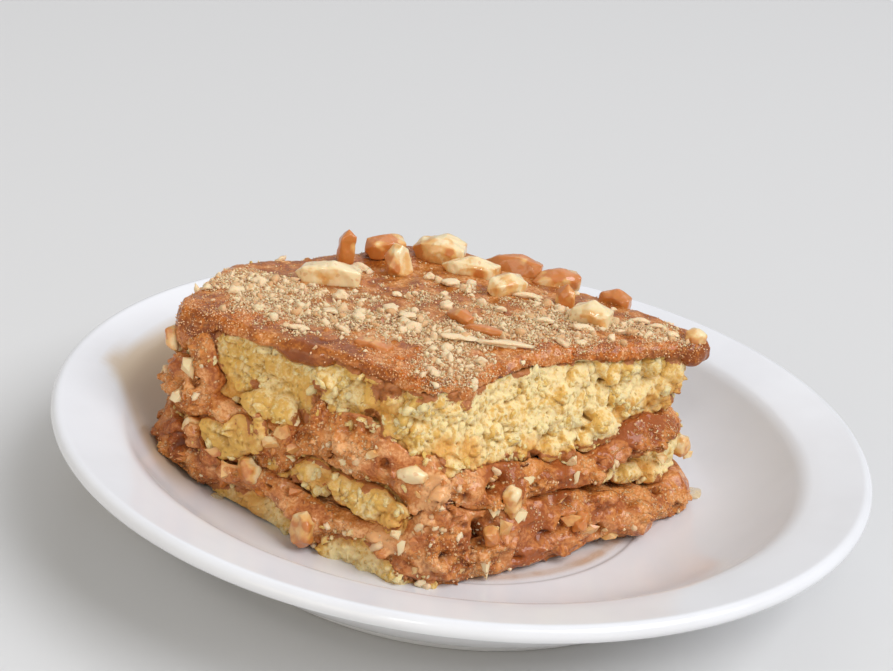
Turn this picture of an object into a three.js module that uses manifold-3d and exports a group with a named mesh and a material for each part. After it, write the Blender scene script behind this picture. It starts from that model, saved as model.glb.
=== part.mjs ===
// A slice of rum-soaked sponge cake on its plate: three sponges, two custard fillings between them,
// a caramel custard topping with crumbs, and toasted nut pieces.
// Millimetres, +Z up. The origin is on the surface that the plate stands on, under the plate's middle.
// -Y is the side of the slice's front corner, and +X is to the right of someone looking at it.

import * as THREE from 'three';
import { mergeVertices } from 'three/addons/utils/BufferGeometryUtils.js';
import Module from 'manifold-3d';

const wasm = await Module();
wasm.setup();

// Driving dimensions

const PLATE_RADIUS = 95;
const PLATE_HEIGHT = 28.5;
const PLATE_FLOOR_Z = 6.5;
const PLATE_FLOOR_RADIUS = 47;
const PLATE_WELL_RADIUS = 79;
const PLATE_WALL = 4;
const FOOT_RADIUS = 61;
const FOOT_WIDTH = 3.5;
const FOOT_RECESS = 2.6;
const PLATE_SEGMENTS = 52;

// The slice's corners seen from above, anticlockwise. The left end is blunt, and the right-hand face
// bends a little at side.
const CORNERS = {
  front: [-7, -49],
  side: [21, -28],
  right: [57, 2],
  back: [-9, 46],
  blunt: [-60, 20],
  left: [-68, -17],
};
const SLICE_MIDDLE = new THREE.Vector2(-13, 1);
const OUTLINE_STEPS = 60;

// Heights of the faces between the layers, from the bottom up, at the middle of the slice.
const LEVELS = { sponge1: 14.3, custard1: 19.3, sponge2: 27, custard2: 31, sponge3: 47.2, topping: 49.9 };
const GAP = 0.3;

// Noise and random numbers

function hash(i, j, k) {
  let h = Math.imul(i, 374761393) ^ Math.imul(j, 668265263) ^ Math.imul(k, 2147483647 - 97);
  h = Math.imul(h ^ (h >>> 13), 1274126177);
  return ((h ^ (h >>> 16)) >>> 0) / 4294967296;
}

// Smooth value noise from -1 to 1, one hump or hollow to each unit of length.
function noise(x, y, z) {
  const [i, j, k] = [x, y, z].map(Math.floor);
  const [u, v, w] = [x - i, y - j, z - k].map((t) => t * t * (3 - 2 * t));
  let sum = 0;
  for (const [a, fa] of [[0, 1 - u], [1, u]])
    for (const [b, fb] of [[0, 1 - v], [1, v]])
      for (const [c, fc] of [[0, 1 - w], [1, w]]) sum += fa * fb * fc * hash(i + a, j + b, k + c);
  return 2 * sum - 1;
}

function randomFrom(seed) {
  let state = seed;
  return () => {
    state = (state + 0x6d2b79f5) | 0;
    let t = Math.imul(state ^ (state >>> 15), 1 | state);
    t = (t + Math.imul(t ^ (t >>> 7), 61 | t)) ^ t;
    return ((t ^ (t >>> 14)) >>> 0) / 4294967296;
  };
}

// Solids and meshes

function toSolid(geometry) {
  const bare = geometry.clone();
  bare.deleteAttribute('normal');
  bare.deleteAttribute('uv');
  const merged = mergeVertices(bare, 1e-3);
  return new wasm.Manifold(new wasm.Mesh({
    numProp: 3,
    vertProperties: merged.attributes.position.array,
    triVerts: new Uint32Array(merged.index.array),
  }));
}

// The largest body of a solid, without scraps that a cut has left loose.
function largestBody(solid) {
  return solid.decompose().reduce((a, b) => (b.volume() > a.volume() ? b : a));
}

function toGeometry(solid) {
  const { vertProperties, triVerts, numProp } = solid.getMesh();
  const positions = new Float32Array(vertProperties.length / numProp * 3);
  for (let i = 0; i < positions.length / 3; i++)
    positions.set(vertProperties.subarray(i * numProp, i * numProp + 3), i * 3);
  const geometry = new THREE.BufferGeometry()
    .setAttribute('position', new THREE.BufferAttribute(positions, 3))
    .setIndex(new THREE.BufferAttribute(triVerts, 1));
  geometry.computeVertexNormals();
  return geometry;
}

function toMesh(name, solid, look) {
  const mesh = new THREE.Mesh(toGeometry(solid), look);
  mesh.name = name;
  return mesh;
}

function look(color, roughness) {
  return new THREE.MeshStandardMaterial({ color, roughness, metalness: 0 });
}

// Plate: a round deep dessert plate with a rolled rim and a foot ring

const RIM_ROLL = 1.8;
const RIM_SHOULDER = { radius: 85, z: 26.9 };
const WELL_EDGE_Z = 23.5;
const PROFILE_STEPS = { upper: 3, lower: 2 };

// The face that carries food, from the axis out to the top of the rolled rim.
function upperProfile() {
  const path = new THREE.Path();
  path.moveTo(0, PLATE_FLOOR_Z);
  path.lineTo(PLATE_FLOOR_RADIUS, PLATE_FLOOR_Z);
  path.quadraticCurveTo(66, 8, PLATE_WELL_RADIUS, WELL_EDGE_Z);
  path.quadraticCurveTo(81.5, 26.2, RIM_SHOULDER.radius, RIM_SHOULDER.z);
  path.lineTo(PLATE_RADIUS - RIM_ROLL, PLATE_HEIGHT);
  return path.getPoints(PROFILE_STEPS.upper);
}

// The rolled rim, the underside, the foot ring and the recess inside it, back to the axis.
function lowerProfile() {
  const path = new THREE.Path();
  const rollZ = PLATE_HEIGHT - RIM_ROLL;
  path.moveTo(PLATE_RADIUS - RIM_ROLL, PLATE_HEIGHT);
  path.absarc(PLATE_RADIUS - RIM_ROLL, rollZ, RIM_ROLL, Math.PI / 2, -Math.PI / 2, true);
  path.lineTo(RIM_SHOULDER.radius, RIM_SHOULDER.z - PLATE_WALL);
  path.quadraticCurveTo(81, 21, 77, 15);
  path.quadraticCurveTo(70, 5.5, FOOT_RADIUS + 1, 2.8);
  path.lineTo(FOOT_RADIUS, 0);
  path.lineTo(FOOT_RADIUS - FOOT_WIDTH, 0);
  path.lineTo(FOOT_RADIUS - FOOT_WIDTH - 1, FOOT_RECESS);
  path.lineTo(0, FOOT_RECESS);
  return path.getPoints(PROFILE_STEPS.lower);
}

const UPPER = upperProfile();

// Height of the plate's upper face at a distance from its axis.
function plateTop(radius) {
  const after = UPPER.findIndex((p) => p.x > radius);
  if (after < 1) return PLATE_HEIGHT;
  const [a, b] = [UPPER[after - 1], UPPER[after]];
  return a.y + (b.y - a.y) * (radius - a.x) / (b.x - a.x);
}

function turned(profile) {
  return toSolid(new THREE.LatheGeometry(profile, PLATE_SEGMENTS).rotateX(Math.PI / 2));
}

function plateSolid() {
  return turned([...UPPER, ...lowerProfile()].reverse());
}

// What lies under the plate's upper face, raised by the gap: it cuts what would reach into the plate.
function plateCutter() {
  const raised = UPPER.map((p) => new THREE.Vector2(p.x, p.y + GAP));
  const outer = 1.2 * PLATE_RADIUS;
  const ends = [new THREE.Vector2(outer, PLATE_HEIGHT), new THREE.Vector2(outer, -5), new THREE.Vector2(0, -5)];
  return turned([...raised, ...ends].reverse());
}

// Outline of the slice

function cornerAt(name, reach) {
  const corner = new THREE.Vector2(...CORNERS[name]);
  const outward = corner.clone().sub(SLICE_MIDDLE).normalize();
  return corner.addScaledVector(outward, reach[name] ?? 0);
}

// Evenly spaced points on the five-cornered outline, with the way out at each.
// reach moves each corner out of the slice's middle, and round is the corners' rounding.
function outline(reach, round, grow) {
  const corners = Object.keys(CORNERS).map((name) => cornerAt(name, reach));
  const path = new THREE.Path();
  corners.forEach((corner, i) => {
    const before = corners[(i + corners.length - 1) % corners.length];
    const next = corners[(i + 1) % corners.length];
    const start = corner.clone().add(before.clone().sub(corner).setLength(round));
    const end = corner.clone().add(next.clone().sub(corner).setLength(round));
    if (i) path.lineTo(start.x, start.y);
    else path.moveTo(start.x, start.y);
    path.quadraticCurveTo(corner.x, corner.y, end.x, end.y);
  });
  path.closePath();
  const points = path.getSpacedPoints(OUTLINE_STEPS).slice(0, OUTLINE_STEPS);
  return points.map((point, i) => {
    const ahead = points[(i + 1) % OUTLINE_STEPS];
    const behind = points[(i + OUTLINE_STEPS - 1) % OUTLINE_STEPS];
    const out = new THREE.Vector2(ahead.y - behind.y, behind.x - ahead.x).normalize();
    return { point: point.addScaledVector(out, grow), out };
  });
}

// A place on a side of the slice: share of the way from one corner to the next, and how far out.
function onSide(from, to, share, out) {
  const [a, b] = [cornerAt(from, {}), cornerAt(to, {})];
  const way = b.clone().sub(a).normalize();
  const outward = new THREE.Vector2(way.y, -way.x);
  const middle = a.clone().lerp(b, share);
  if (outward.dot(middle.clone().sub(SLICE_MIDDLE)) < 0) outward.negate();
  return middle.addScaledVector(outward, out);
}

// The way that a side of the slice runs, seen from above.
function sideYaw(from, to) {
  const way = cornerAt(to, {}).sub(cornerAt(from, {}));
  return Math.atan2(way.y, way.x);
}

// Faces between the layers

const TOP_DOME = { height: 1.6, radius: 75 };
const WALL_LIFT = 3.5;

// Swells and dips of each face: side, share along it, reach and height. The top sponge hangs down in
// the middle of the right-hand face and squeezes the layers under it.
const SWELLS = {
  sponge1: [],
  custard1: [['front', 'right', 0.45, 24, -1], ['front', 'right', 0.88, 18, -3], ['left', 'front', 0.82, 12, -1.5]],
  sponge2: [['front', 'right', 0.45, 24, -2.5]],
  custard2: [['front', 'right', 0.45, 24, -3]],
  sponge3: [['front', 'right', 0.6, 30, 0.8], ['left', 'front', 0.6, 14, 2]],
  topping: [['front', 'right', 0.6, 30, 0.6], ['left', 'front', 0.6, 14, 0.9]],
};

function smoothstep(low, high, value) {
  return THREE.MathUtils.smoothstep(value, low, high);
}

// The layers ride up where the slice's left end lies on the plate's wall.
function wallLift(x, y) {
  return WALL_LIFT * smoothstep(50, 76, Math.hypot(x, y));
}

function swell(name, x, y) {
  return SWELLS[name].reduce((sum, [from, to, share, reach, height]) => {
    const middle = onSide(from, to, share, 0);
    const distance = Math.hypot(x - middle.x, y - middle.y) / reach;
    return sum + height * Math.exp(-distance * distance);
  }, 0);
}

function dome(x, y) {
  const distance = Math.hypot(x - SLICE_MIDDLE.x, y - SLICE_MIDDLE.y) / TOP_DOME.radius;
  return TOP_DOME.height * (1 - distance * distance);
}

// A face's height: its level, the share of the wall's lift that it takes, its swells and a slight wave.
function face(name, liftShare, domeShare, waviness) {
  const seed = Object.keys(LEVELS).indexOf(name) + 1;
  return (x, y) => LEVELS[name] + liftShare * wallLift(x, y) + domeShare * dome(x, y)
    + swell(name, x, y) + waviness * noise(x / 14, y / 14, seed);
}

const FACES = {
  plate: (x, y) => plateTop(Math.hypot(x, y)) + GAP + 0.1,
  sponge1: face('sponge1', 1, 0, 0.8),
  custard1: face('custard1', 1, 0, 0.8),
  sponge2: face('sponge2', 0.6, 0, 0.8),
  custard2: face('custard2', 0.4, 0, 0.8),
  sponge3: face('sponge3', 0, 1, 0.7),
  topping: face('topping', 0, 1, 0.5),
};

// Layers

const WALL_CRAG_SIZE = 4.6;
const RING_SHARES = [0.92, 0.7, 0.35];

function crag(x, y, z) {
  const s = WALL_CRAG_SIZE;
  return noise(x / s, y / s, z / s) + 0.5 * noise(2.3 * x / s, 2.3 * y / s, 2.3 * z / s);
}

// How far a layer's edge runs down, runs up and bulges out at a place on its outline.
// A run is a side of the slice, the share along it, its width, and how far it goes down, up and out.
// Where runs meet, the strongest counts.
function runAt(runs, place) {
  const total = { down: 0, up: 0, out: 0 };
  for (const [from, to, share, width, down, up, out] of runs) {
    const distance = place.distanceTo(onSide(from, to, share, 0)) / (width / 2);
    const weight = Math.exp(-(distance ** 3));
    for (const [way, size] of Object.entries({ down, up, out }))
      if (Math.abs(weight * size) > Math.abs(total[way])) total[way] = weight * size;
  }
  return total;
}

// A closed layer between two faces. Its wall runs from the lower outline to the upper one in rows,
// bulges by bulge at half height and is craggy by rough. grow makes every face stand out that far.
function layer({ low, high, under, over, round, rows, bulge = 0, rough, runs = [] }, grow = 0) {
  const [bottom, top] = [outline(under, round, grow), outline(over, round, grow)];
  const reach = bottom.map(({ point }, i) => runAt(runs, point.clone().lerp(top[i].point, 0.5)));
  const vertices = [];
  const triangles = [];
  const add = (x, y, z) => vertices.push(x, y, z) / 3 - 1;

  const walls = [];
  for (let row = 0; row <= rows; row++) {
    const t = row / rows;
    walls.push(bottom.map(({ point, out }, i) => {
      const p = point.clone().lerp(top[i].point, t);
      const [floor, roof] = [low(p.x, p.y) - reach[i].down, high(p.x, p.y) + reach[i].up];
      const level = THREE.MathUtils.lerp(floor, roof, t);
      const swell = 4 * t * (1 - t) * (bulge + reach[i].out);
      p.addScaledVector(out, swell + rough * crag(p.x, p.y, level));
      return add(p.x, p.y, THREE.MathUtils.lerp(floor - grow, roof + grow, t));
    }));
  }
  for (let row = 0; row < rows; row++)
    for (let i = 0; i < OUTLINE_STEPS; i++) {
      const j = (i + 1) % OUTLINE_STEPS;
      const [a, b, c, d] = [walls[row][i], walls[row][j], walls[row + 1][j], walls[row + 1][i]];
      triangles.push(a, b, c, a, c, d);
    }

  // Rings run inward from the wall's edge. The first keeps every point and the edge's runs, and each
  // of the others has half the points of the ring before it.
  const close = (edge, face, offset, runOf, facingUp) => {
    const turn = (a, b, c) => triangles.push(...(facingUp ? [a, b, c] : [a, c, b]));
    const inward = (index, share, run) => {
      const at = new THREE.Vector2(vertices[3 * index], vertices[3 * index + 1]);
      at.sub(SLICE_MIDDLE).multiplyScalar(share).add(SLICE_MIDDLE);
      return add(at.x, at.y, face(at.x, at.y) + offset + run);
    };
    let ring = edge;
    if (runs.length) {
      ring = edge.map((index, i) => inward(index, RING_SHARES[0], 0.9 * runOf(reach[i])));
      ring.forEach((_, i) => {
        const j = (i + 1) % ring.length;
        turn(edge[i], edge[j], ring[i]);
        turn(edge[j], ring[j], ring[i]);
      });
    }
    for (const share of RING_SHARES.slice(1)) {
      const step = 2 * edge.length / ring.length;
      const outer = ring;
      const inner = outer.filter((_, i) => i % 2 === 0).map((_, i) => inward(edge[i * step], share, 0));
      inner.forEach((_, i) => {
        const [a, b, c] = [outer[2 * i], outer[2 * i + 1], outer[(2 * i + 2) % outer.length]];
        const next = inner[(i + 1) % inner.length];
        turn(a, b, inner[i]);
        turn(b, c, next);
        turn(b, next, inner[i]);
      });
      ring = inner;
    }
    const middle = add(SLICE_MIDDLE.x, SLICE_MIDDLE.y, face(SLICE_MIDDLE.x, SLICE_MIDDLE.y) + offset);
    ring.forEach((a, i) => turn(a, ring[(i + 1) % ring.length], middle));
  };
  close(walls[rows], high, grow, ({ up }) => up, true);
  close(walls[0], low, -grow, ({ down }) => -down, false);

  const geometry = new THREE.BufferGeometry()
    .setAttribute('position', new THREE.BufferAttribute(new Float32Array(vertices), 3))
    .setIndex(triangles);
  return toSolid(geometry);
}

function union(solids) {
  return wasm.Manifold.union(solids);
}

// Sponges

const SPONGE1 = {
  low: FACES.plate, high: FACES.sponge1, round: 6, rows: 3, bulge: 0.5, rough: 1,
  under: { front: 1.5, side: -4, right: -6, back: -3, blunt: -7, left: 0 },
  over: { front: 0, side: -5, right: -4, back: -2, blunt: -3, left: 0 },
};
const SPONGE2 = {
  low: FACES.custard1, high: FACES.sponge2, round: 7, rows: 3, bulge: 0.4, rough: 1.1,
  under: { front: -3, side: -4, right: -3, back: -2, blunt: -2, left: -2 },
  over: { front: -4, side: -6, right: -3, back: -2, blunt: -2, left: -2 },
};
const SPONGE3 = {
  low: FACES.custard2, high: FACES.sponge3, round: 7, rows: 5, bulge: 0.6, rough: 1.2,
  under: { front: -4, side: -5, right: -9, back: -2, blunt: -2, left: -4 },
  over: { front: -6, side: -10, right: -3, back: -2, blunt: -2, left: -3 },
};

// The room that the sponges take up, with the gap round them.
const spongeSpace = union([SPONGE1, SPONGE2, SPONGE3].map((spec) => layer(spec, GAP)));

// Custard fillings. They ooze out between the sponges, and down or up over them.

const LOWER_CUSTARD = {
  low: (x, y) => FACES.sponge1(x, y) - 0.4, high: (x, y) => FACES.custard1(x, y) + 0.4,
  round: 9, rows: 4, bulge: 1.4, rough: 1,
  under: { front: 2, side: 4, right: 3, back: -1, blunt: -2, left: 1 },
  over: { front: 0, side: 1, right: 0, back: 0, blunt: 0, left: 2 },
  runs: [
    ['front', 'right', 0.06, 20, 9, 4, 1.5],
    ['front', 'right', 0.25, 26, 9, 3, 2],
    ['front', 'right', 0.45, 22, 9, 3, 1],
    ['front', 'right', 0.72, 24, 9, -1, 3.5],
    ['front', 'right', 0.93, 20, 9, -1, 1],
    ['left', 'front', 0.05, 22, 7, 1, 1],
    ['left', 'front', 0.22, 14, 2, 0, 1],
    ['left', 'front', 0.64, 11, 9, 0, 2.5],
    ['blunt', 'left', 0.7, 24, 6, 3, 1],
    ['right', 'back', 0.25, 26, 6, 3, 2],
    ['right', 'back', 0.7, 18, 3, 2, 1],
    ['back', 'blunt', 0.4, 28, 6, 3, 2],
  ],
};

const UPPER_CUSTARD = {
  low: (x, y) => FACES.sponge2(x, y) - 0.4, high: (x, y) => FACES.custard2(x, y) + 0.4,
  round: 9, rows: 4, bulge: 1.2, rough: 1,
  under: { front: -1, side: -1, right: -1, back: 0, blunt: 0, left: 1 },
  over: { front: -3, side: -3, right: -5, back: 0, blunt: 0, left: 1 },
  runs: [
    ['front', 'right', 0.02, 16, 6, 5, 1],
    ['front', 'right', 0.25, 24, 6, 1, 2],
    ['front', 'right', 0.5, 24, 4, 0, 1.5],
    ['front', 'right', 0.78, 16, 1, 3, 1.5],
    ['front', 'right', 0.97, 12, 1, 3, 1],
    ['left', 'front', 0.97, 12, 5, 4, 1],
    ['left', 'front', 0.74, 22, 1, 9, 1.2],
    ['left', 'front', 0.42, 13, 8, 3, 1.5],
    ['left', 'front', 0.04, 14, 3, 8, 1],
    ['blunt', 'left', 0.5, 18, 3, 2, 1],
    ['right', 'back', 0.4, 20, 6, 2, 1],
    ['back', 'blunt', 0.65, 18, 4, 3, 1],
  ],
};

// A filling is cut clear of the sponges, of the plate and of the custard under it.
function filling(spec, cutters) {
  return largestBody(cutters.reduce((solid, cutter) => solid.subtract(cutter), layer(spec)));
}

const plateSpace = plateCutter();
const lowerCustard = filling(LOWER_CUSTARD, [spongeSpace, plateSpace]);
const lowerSpace = layer(LOWER_CUSTARD, GAP);
const upperCustard = filling(UPPER_CUSTARD, [spongeSpace, lowerSpace]);
const upperSpace = layer(UPPER_CUSTARD, GAP);

// Topping: caramel custard over the top sponge, with drips down the faces and crumbs fused on

const TOPPING = {
  low: (x, y) => FACES.sponge3(x, y) - 0.3, high: FACES.topping, round: 7, rows: 3, bulge: 0.6, rough: 0.5,
  under: { front: -5, side: -9, right: 0, back: 0, blunt: 0, left: 0 },
  over: { front: -7, side: -11, right: 0, back: -2, blunt: -2, left: -1 },
  runs: [
    ['left', 'front', 0.02, 12, 9, 0, 0.5],
    ['left', 'front', 0.4, 14, 0.5, 0, 1.5],
    ['left', 'front', 0.88, 10, 1.5, 0, 0.3],
    ['front', 'right', 0.12, 8, 2, 0, 0.3],
    ['front', 'right', 0.98, 7, 3, 0, 1],
    ['blunt', 'left', 0.4, 18, 3, 0, 1],
    ['right', 'back', 0.35, 18, 3, 0, 1],
    ['back', 'blunt', 0.5, 22, 3, 0, 1],
  ],
};
const CRUMBS = { seed: 5, count: 38, size: [2, 3.8], clear: 1 };

// Crumbs lie thickest in a band along the two front edges, and keep clear of the nuts.
function crumbs() {
  const random = randomFrom(CRUMBS.seed);
  const made = [];
  while (made.length < CRUMBS.count) {
    const [from, to] = random() < 0.6 ? ['left', 'front'] : ['front', 'right'];
    const at = onSide(from, to, 0.05 + 0.9 * random(), -5 - 24 * random() ** 1.3);
    const size = CRUMBS.size[0] + (CRUMBS.size[1] - CRUMBS.size[0]) * random() ** 2;
    const clear = size / 2 + CRUMBS.clear;
    if (TOP_NUTS.some((nut) => Math.hypot(at.x - nut.at[0], at.y - nut.at[1]) < nut.size[0] / 2 + clear)) continue;
    const geometry = new THREE.OctahedronGeometry(size / 2)
      .scale(1, 0.7 + 0.3 * random(), 0.8)
      .rotateX(0.6 * random())
      .rotateZ(6.28 * random())
      .translate(at.x, at.y, FACES.topping(at.x, at.y) + 0.05 * size);
    made.push(toSolid(geometry));
  }
  return made;
}

const toppingBare = largestBody(layer(TOPPING).subtract(spongeSpace).subtract(upperSpace));
const toppingSpace = layer(TOPPING, GAP);

// Nuts on the top: where each lies, its length, width and thickness, how it is turned, and a brown skin

const NUT_RISE = 0.28;
const TOP_NUTS = [
  { name: 'nut_cream_left', at: [-35.9, 12], size: [17, 8, 6.5], yaw: 0.05, tilt: 0.1 },
  { name: 'nut_upright_left', at: [-33.2, 26], size: [5, 5.5, 11], yaw: 0.3, tilt: 0.15, skin: true },
  { name: 'nut_brown_back', at: [-23.9, 33], size: [12, 8, 7], yaw: 0.5, tilt: 0.3, skin: true },
  { name: 'nut_wedge', at: [-20, 22], size: [6.5, 6, 9.5], yaw: 0.9, tilt: -0.3, skin: true },
  { name: 'nut_big_back', at: [-9.7, 32.5], size: [14, 9, 8], yaw: -0.2, tilt: 0.2 },
  { name: 'nut_cream_middle', at: [-0.3, 24.5], size: [14, 7, 5.5], yaw: -0.15, tilt: 0.1 },
  { name: 'nut_brown_right', at: [10, 30.5], size: [15, 6.5, 6], yaw: -0.3, tilt: -0.2, skin: true },
  { name: 'nut_pale_right', at: [8.5, 15], size: [11, 7, 6.5], yaw: 0.6, tilt: 0.4 },
  { name: 'nut_curl', at: [21, 27], size: [12, 7, 6], yaw: 0.35, tilt: 0.2, skin: true },
  { name: 'nut_leg', at: [22.5, 12.5], size: [5, 5.5, 8], yaw: 0.1, tilt: 0.1, skin: true },
  { name: 'nut_block', at: [27.5, 2.5], size: [11.5, 7.5, 6.5], yaw: -0.35, tilt: 0.15 },
  { name: 'nut_far_right', at: [33.5, 18.5], size: [9, 6, 5], yaw: -0.5, tilt: 0.1, skin: true },
  { name: 'nut_splinter_upright', at: [-3.4, -7], size: [8, 4, 4.5], yaw: -0.8, tilt: 0.4, skin: true },
  { name: 'nut_splinter_flat', at: [3.6, -11.5], size: [9.5, 3.6, 3.2], yaw: -0.25, tilt: 0.1, skin: true },
  { name: 'nut_front_left', at: [-22, -26.5], size: [10, 5, 3.4], yaw: -0.45, tilt: 0.1, skin: true },
  { name: 'nut_tip', at: [51, 0.5], size: [5.5, 4.5, 4], yaw: 0.4, tilt: 0.2 },
];

// Nut pieces that show at the sides, half sunk in the custard: the side, the share along it, the
// height, the size and the turn.
const SIDE_NUT_SHOWS = 0.5;
const SIDE_NUTS = [
  { name: 'nut_side_left_end', side: ['left', 'front', 0.01], z: 42, size: [7, 5, 7], yaw: 0.4 },
  { name: 'nut_side_left_low', side: ['left', 'front', 0.12], z: 24, size: [6, 6, 5.5], yaw: 0.2 },
  { name: 'nut_side_left_middle', side: ['left', 'front', 0.38], z: 20, size: [7, 6, 6.5], yaw: -0.5 },
  { name: 'nut_side_cream', side: ['left', 'front', 0.63], z: 13, size: [8, 6, 9], yaw: -0.3 },
  { name: 'nut_side_flake', side: ['left', 'front', 0.95], z: 31, size: [8, 4, 4], yaw: 0.2 },
  { name: 'nut_side_front_high', side: ['front', 'right', 0.27], z: 23, size: [5, 5, 8], yaw: 0.5 },
  { name: 'nut_side_front_low', side: ['front', 'right', 0.2], z: 17, size: [6, 5, 6], yaw: 0.9 },
  { name: 'nut_side_right_low', side: ['front', 'right', 0.5], z: 15, size: [7, 5, 5.5], yaw: 0.7 },
  { name: 'nut_side_right_end', side: ['front', 'right', 0.97], z: 22.5, size: [5, 5, 6], yaw: 0.3 },
];

const NUT_CUT = 0.34;

// A chopped nut: a lumpy ellipsoid with a flat break across its end and another along its side.
function nutShape([length, width, tall], index) {
  const round = new THREE.OctahedronGeometry(1, 1);
  const position = round.attributes.position;
  for (let i = 0; i < position.count; i++) {
    const v = new THREE.Vector3().fromBufferAttribute(position, i);
    v.multiplyScalar(1.04 + 0.14 * noise(2 * v.x + 9 * index, 2 * v.y, 2 * v.z));
    position.setXYZ(i, v.x, v.y, v.z);
  }
  round.rotateX(0.6).scale(length / 2, width / 2, tall / 2);
  const beyond = 2 * length;
  const end = new THREE.BoxGeometry(beyond, beyond, beyond)
    .translate(length * NUT_CUT + beyond / 2, 0, 0)
    .rotateZ(0.35 * noise(index, 0.5, 0.5));
  const side = new THREE.BoxGeometry(beyond, beyond, beyond)
    .translate(0, -width * NUT_CUT - beyond / 2, 0)
    .rotateX(0.5 * noise(0.5, index, 0.5));
  return toGeometry(toSolid(round).subtract(toSolid(end)).subtract(toSolid(side)));
}

const cakeSpaces = [toppingSpace, upperSpace, lowerSpace, spongeSpace, plateSpace];

// The part of a nut that stands out of the cake.
function cutByCake(geometry) {
  return cakeSpaces.reduce((solid, space) => solid.subtract(space), toSolid(geometry));
}

// A nut on the top. Its middle is above the topping by a share of its thickness.
function topNut({ at, size, yaw, tilt }, index) {
  const height = FACES.topping(...at) + NUT_RISE * size[2];
  return largestBody(cutByCake(nutShape(size, index).rotateX(tilt).rotateZ(yaw).translate(at[0], at[1], height)));
}

// A nut in a side. It is moved out of the face until the share that shows is enough.
function sideNut({ side, z, size, yaw }, index) {
  const [from, to, share] = side;
  const shape = nutShape(size, index + 40).rotateZ(sideYaw(from, to) + yaw);
  const enough = SIDE_NUT_SHOWS * toSolid(shape).volume();
  for (let out = -3; out < 9; out += 0.5) {
    const at = onSide(from, to, share, out);
    const parts = cutByCake(shape.clone().translate(at.x, at.y, z)).decompose();
    const largest = parts.reduce((a, b) => (a && a.volume() > b.volume() ? a : b), undefined);
    if (largest && largest.volume() > enough) return largest;
  }
  throw new Error('a side nut is hidden: ' + share);
}

// The whole slice on its plate

const LOOKS = {
  glaze: look(0xf3f2f0, 0.15),
  sponge: look(0xe2cd8c, 0.9),
  custard: look(0xb97a4d, 0.35),
  topping: look(0xb06f3e, 0.35),
  nut: look(0xe9c98e, 0.5),
  skin: look(0xb0672f, 0.45),
};

const cake = new THREE.Group();
cake.name = 'sponge_cake_on_plate';
cake.add(toMesh('plate', plateSolid(), LOOKS.glaze));
cake.add(toMesh('sponge_bottom', layer(SPONGE1), LOOKS.sponge));
cake.add(toMesh('custard_lower', lowerCustard, LOOKS.custard));
cake.add(toMesh('sponge_middle', layer(SPONGE2), LOOKS.sponge));
cake.add(toMesh('custard_upper', upperCustard, LOOKS.custard));
cake.add(toMesh('sponge_top', layer(SPONGE3), LOOKS.sponge));
cake.add(toMesh('topping', largestBody(union([toppingBare, ...crumbs()])), LOOKS.topping));
TOP_NUTS.forEach((nut, i) => cake.add(toMesh(nut.name, topNut(nut, i), nut.skin ? LOOKS.skin : LOOKS.nut)));
SIDE_NUTS.forEach((nut, i) => cake.add(toMesh(nut.name, sideNut(nut, i), LOOKS.nut)));

export default cake;
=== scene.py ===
# A slice of rum-soaked sponge cake on its dessert plate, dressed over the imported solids.
# Metres, +Z up. -Y is the side of the slice's front corner.

import itertools
import math

import bpy
import numpy as np
from mathutils import Matrix, Vector
from mathutils.bvhtree import BVHTree


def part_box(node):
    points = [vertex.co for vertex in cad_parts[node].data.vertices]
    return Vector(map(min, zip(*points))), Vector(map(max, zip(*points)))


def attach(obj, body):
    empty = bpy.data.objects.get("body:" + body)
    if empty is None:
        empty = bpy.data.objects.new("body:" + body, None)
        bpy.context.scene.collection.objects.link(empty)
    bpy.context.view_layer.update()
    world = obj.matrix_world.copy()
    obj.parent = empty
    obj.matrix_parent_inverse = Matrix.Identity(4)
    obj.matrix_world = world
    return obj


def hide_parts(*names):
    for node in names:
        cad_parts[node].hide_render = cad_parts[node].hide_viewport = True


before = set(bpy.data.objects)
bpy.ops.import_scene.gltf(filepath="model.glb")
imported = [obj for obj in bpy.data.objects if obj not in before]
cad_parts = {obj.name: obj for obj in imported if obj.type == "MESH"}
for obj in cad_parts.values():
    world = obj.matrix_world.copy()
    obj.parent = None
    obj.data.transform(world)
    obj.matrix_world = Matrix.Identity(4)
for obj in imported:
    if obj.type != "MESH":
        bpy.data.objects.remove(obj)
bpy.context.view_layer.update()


# Plate
# A round deep dessert plate of white porcelain with a clear glaze, turned on a mould: a flat floor
# with a low step round it, a curved well, a flat rim with a rolled edge, and a foot ring.

MM = 0.001
PLATE_STEPS = 240
PORCELAIN = (0.765, 0.775, 0.80, 1)
PORCELAIN_SHADE = (0.74, 0.747, 0.77, 1)
# The colour of the cake's shadow and reflection, painted on the plate's left-hand wall.
PORCELAIN_PAINTED_SHADOW = (0.58, 0.44, 0.28, 1)
# The left-hand wall has the cake's warm shadow and reflection painted on it. It fills a corner, seen from
# above in millimetres, between two lines. Each line has its way into the corner.
PAINTED_SHADOW_CORNER = (-88, 3)
PAINTED_SHADOW_WAYS = ((0.855, 0.518), (0.94, -0.342))
WALL_FOOT = 6.8 * MM


def at(radius, height):
    """A point of the plate's profile, given in millimetres."""
    return Vector((radius * MM, 0, height * MM))


def curve(start, bend, end, steps=9):
    """Points after start on a smooth curve that leaves towards bend and arrives at end."""
    shares = [i / steps for i in range(1, steps + 1)]
    return [start * (1 - t) ** 2 + bend * 2 * t * (1 - t) + end * t * t for t in shares]


def arc(centre, radius, first, last, steps):
    """Points on an arc in the profile, from one angle in degrees to another."""
    angles = [math.radians(first + (last - first) * i / steps) for i in range(steps + 1)]
    return [centre + radius * MM * Vector((math.cos(a), 0, math.sin(a))) for a in angles]


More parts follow.
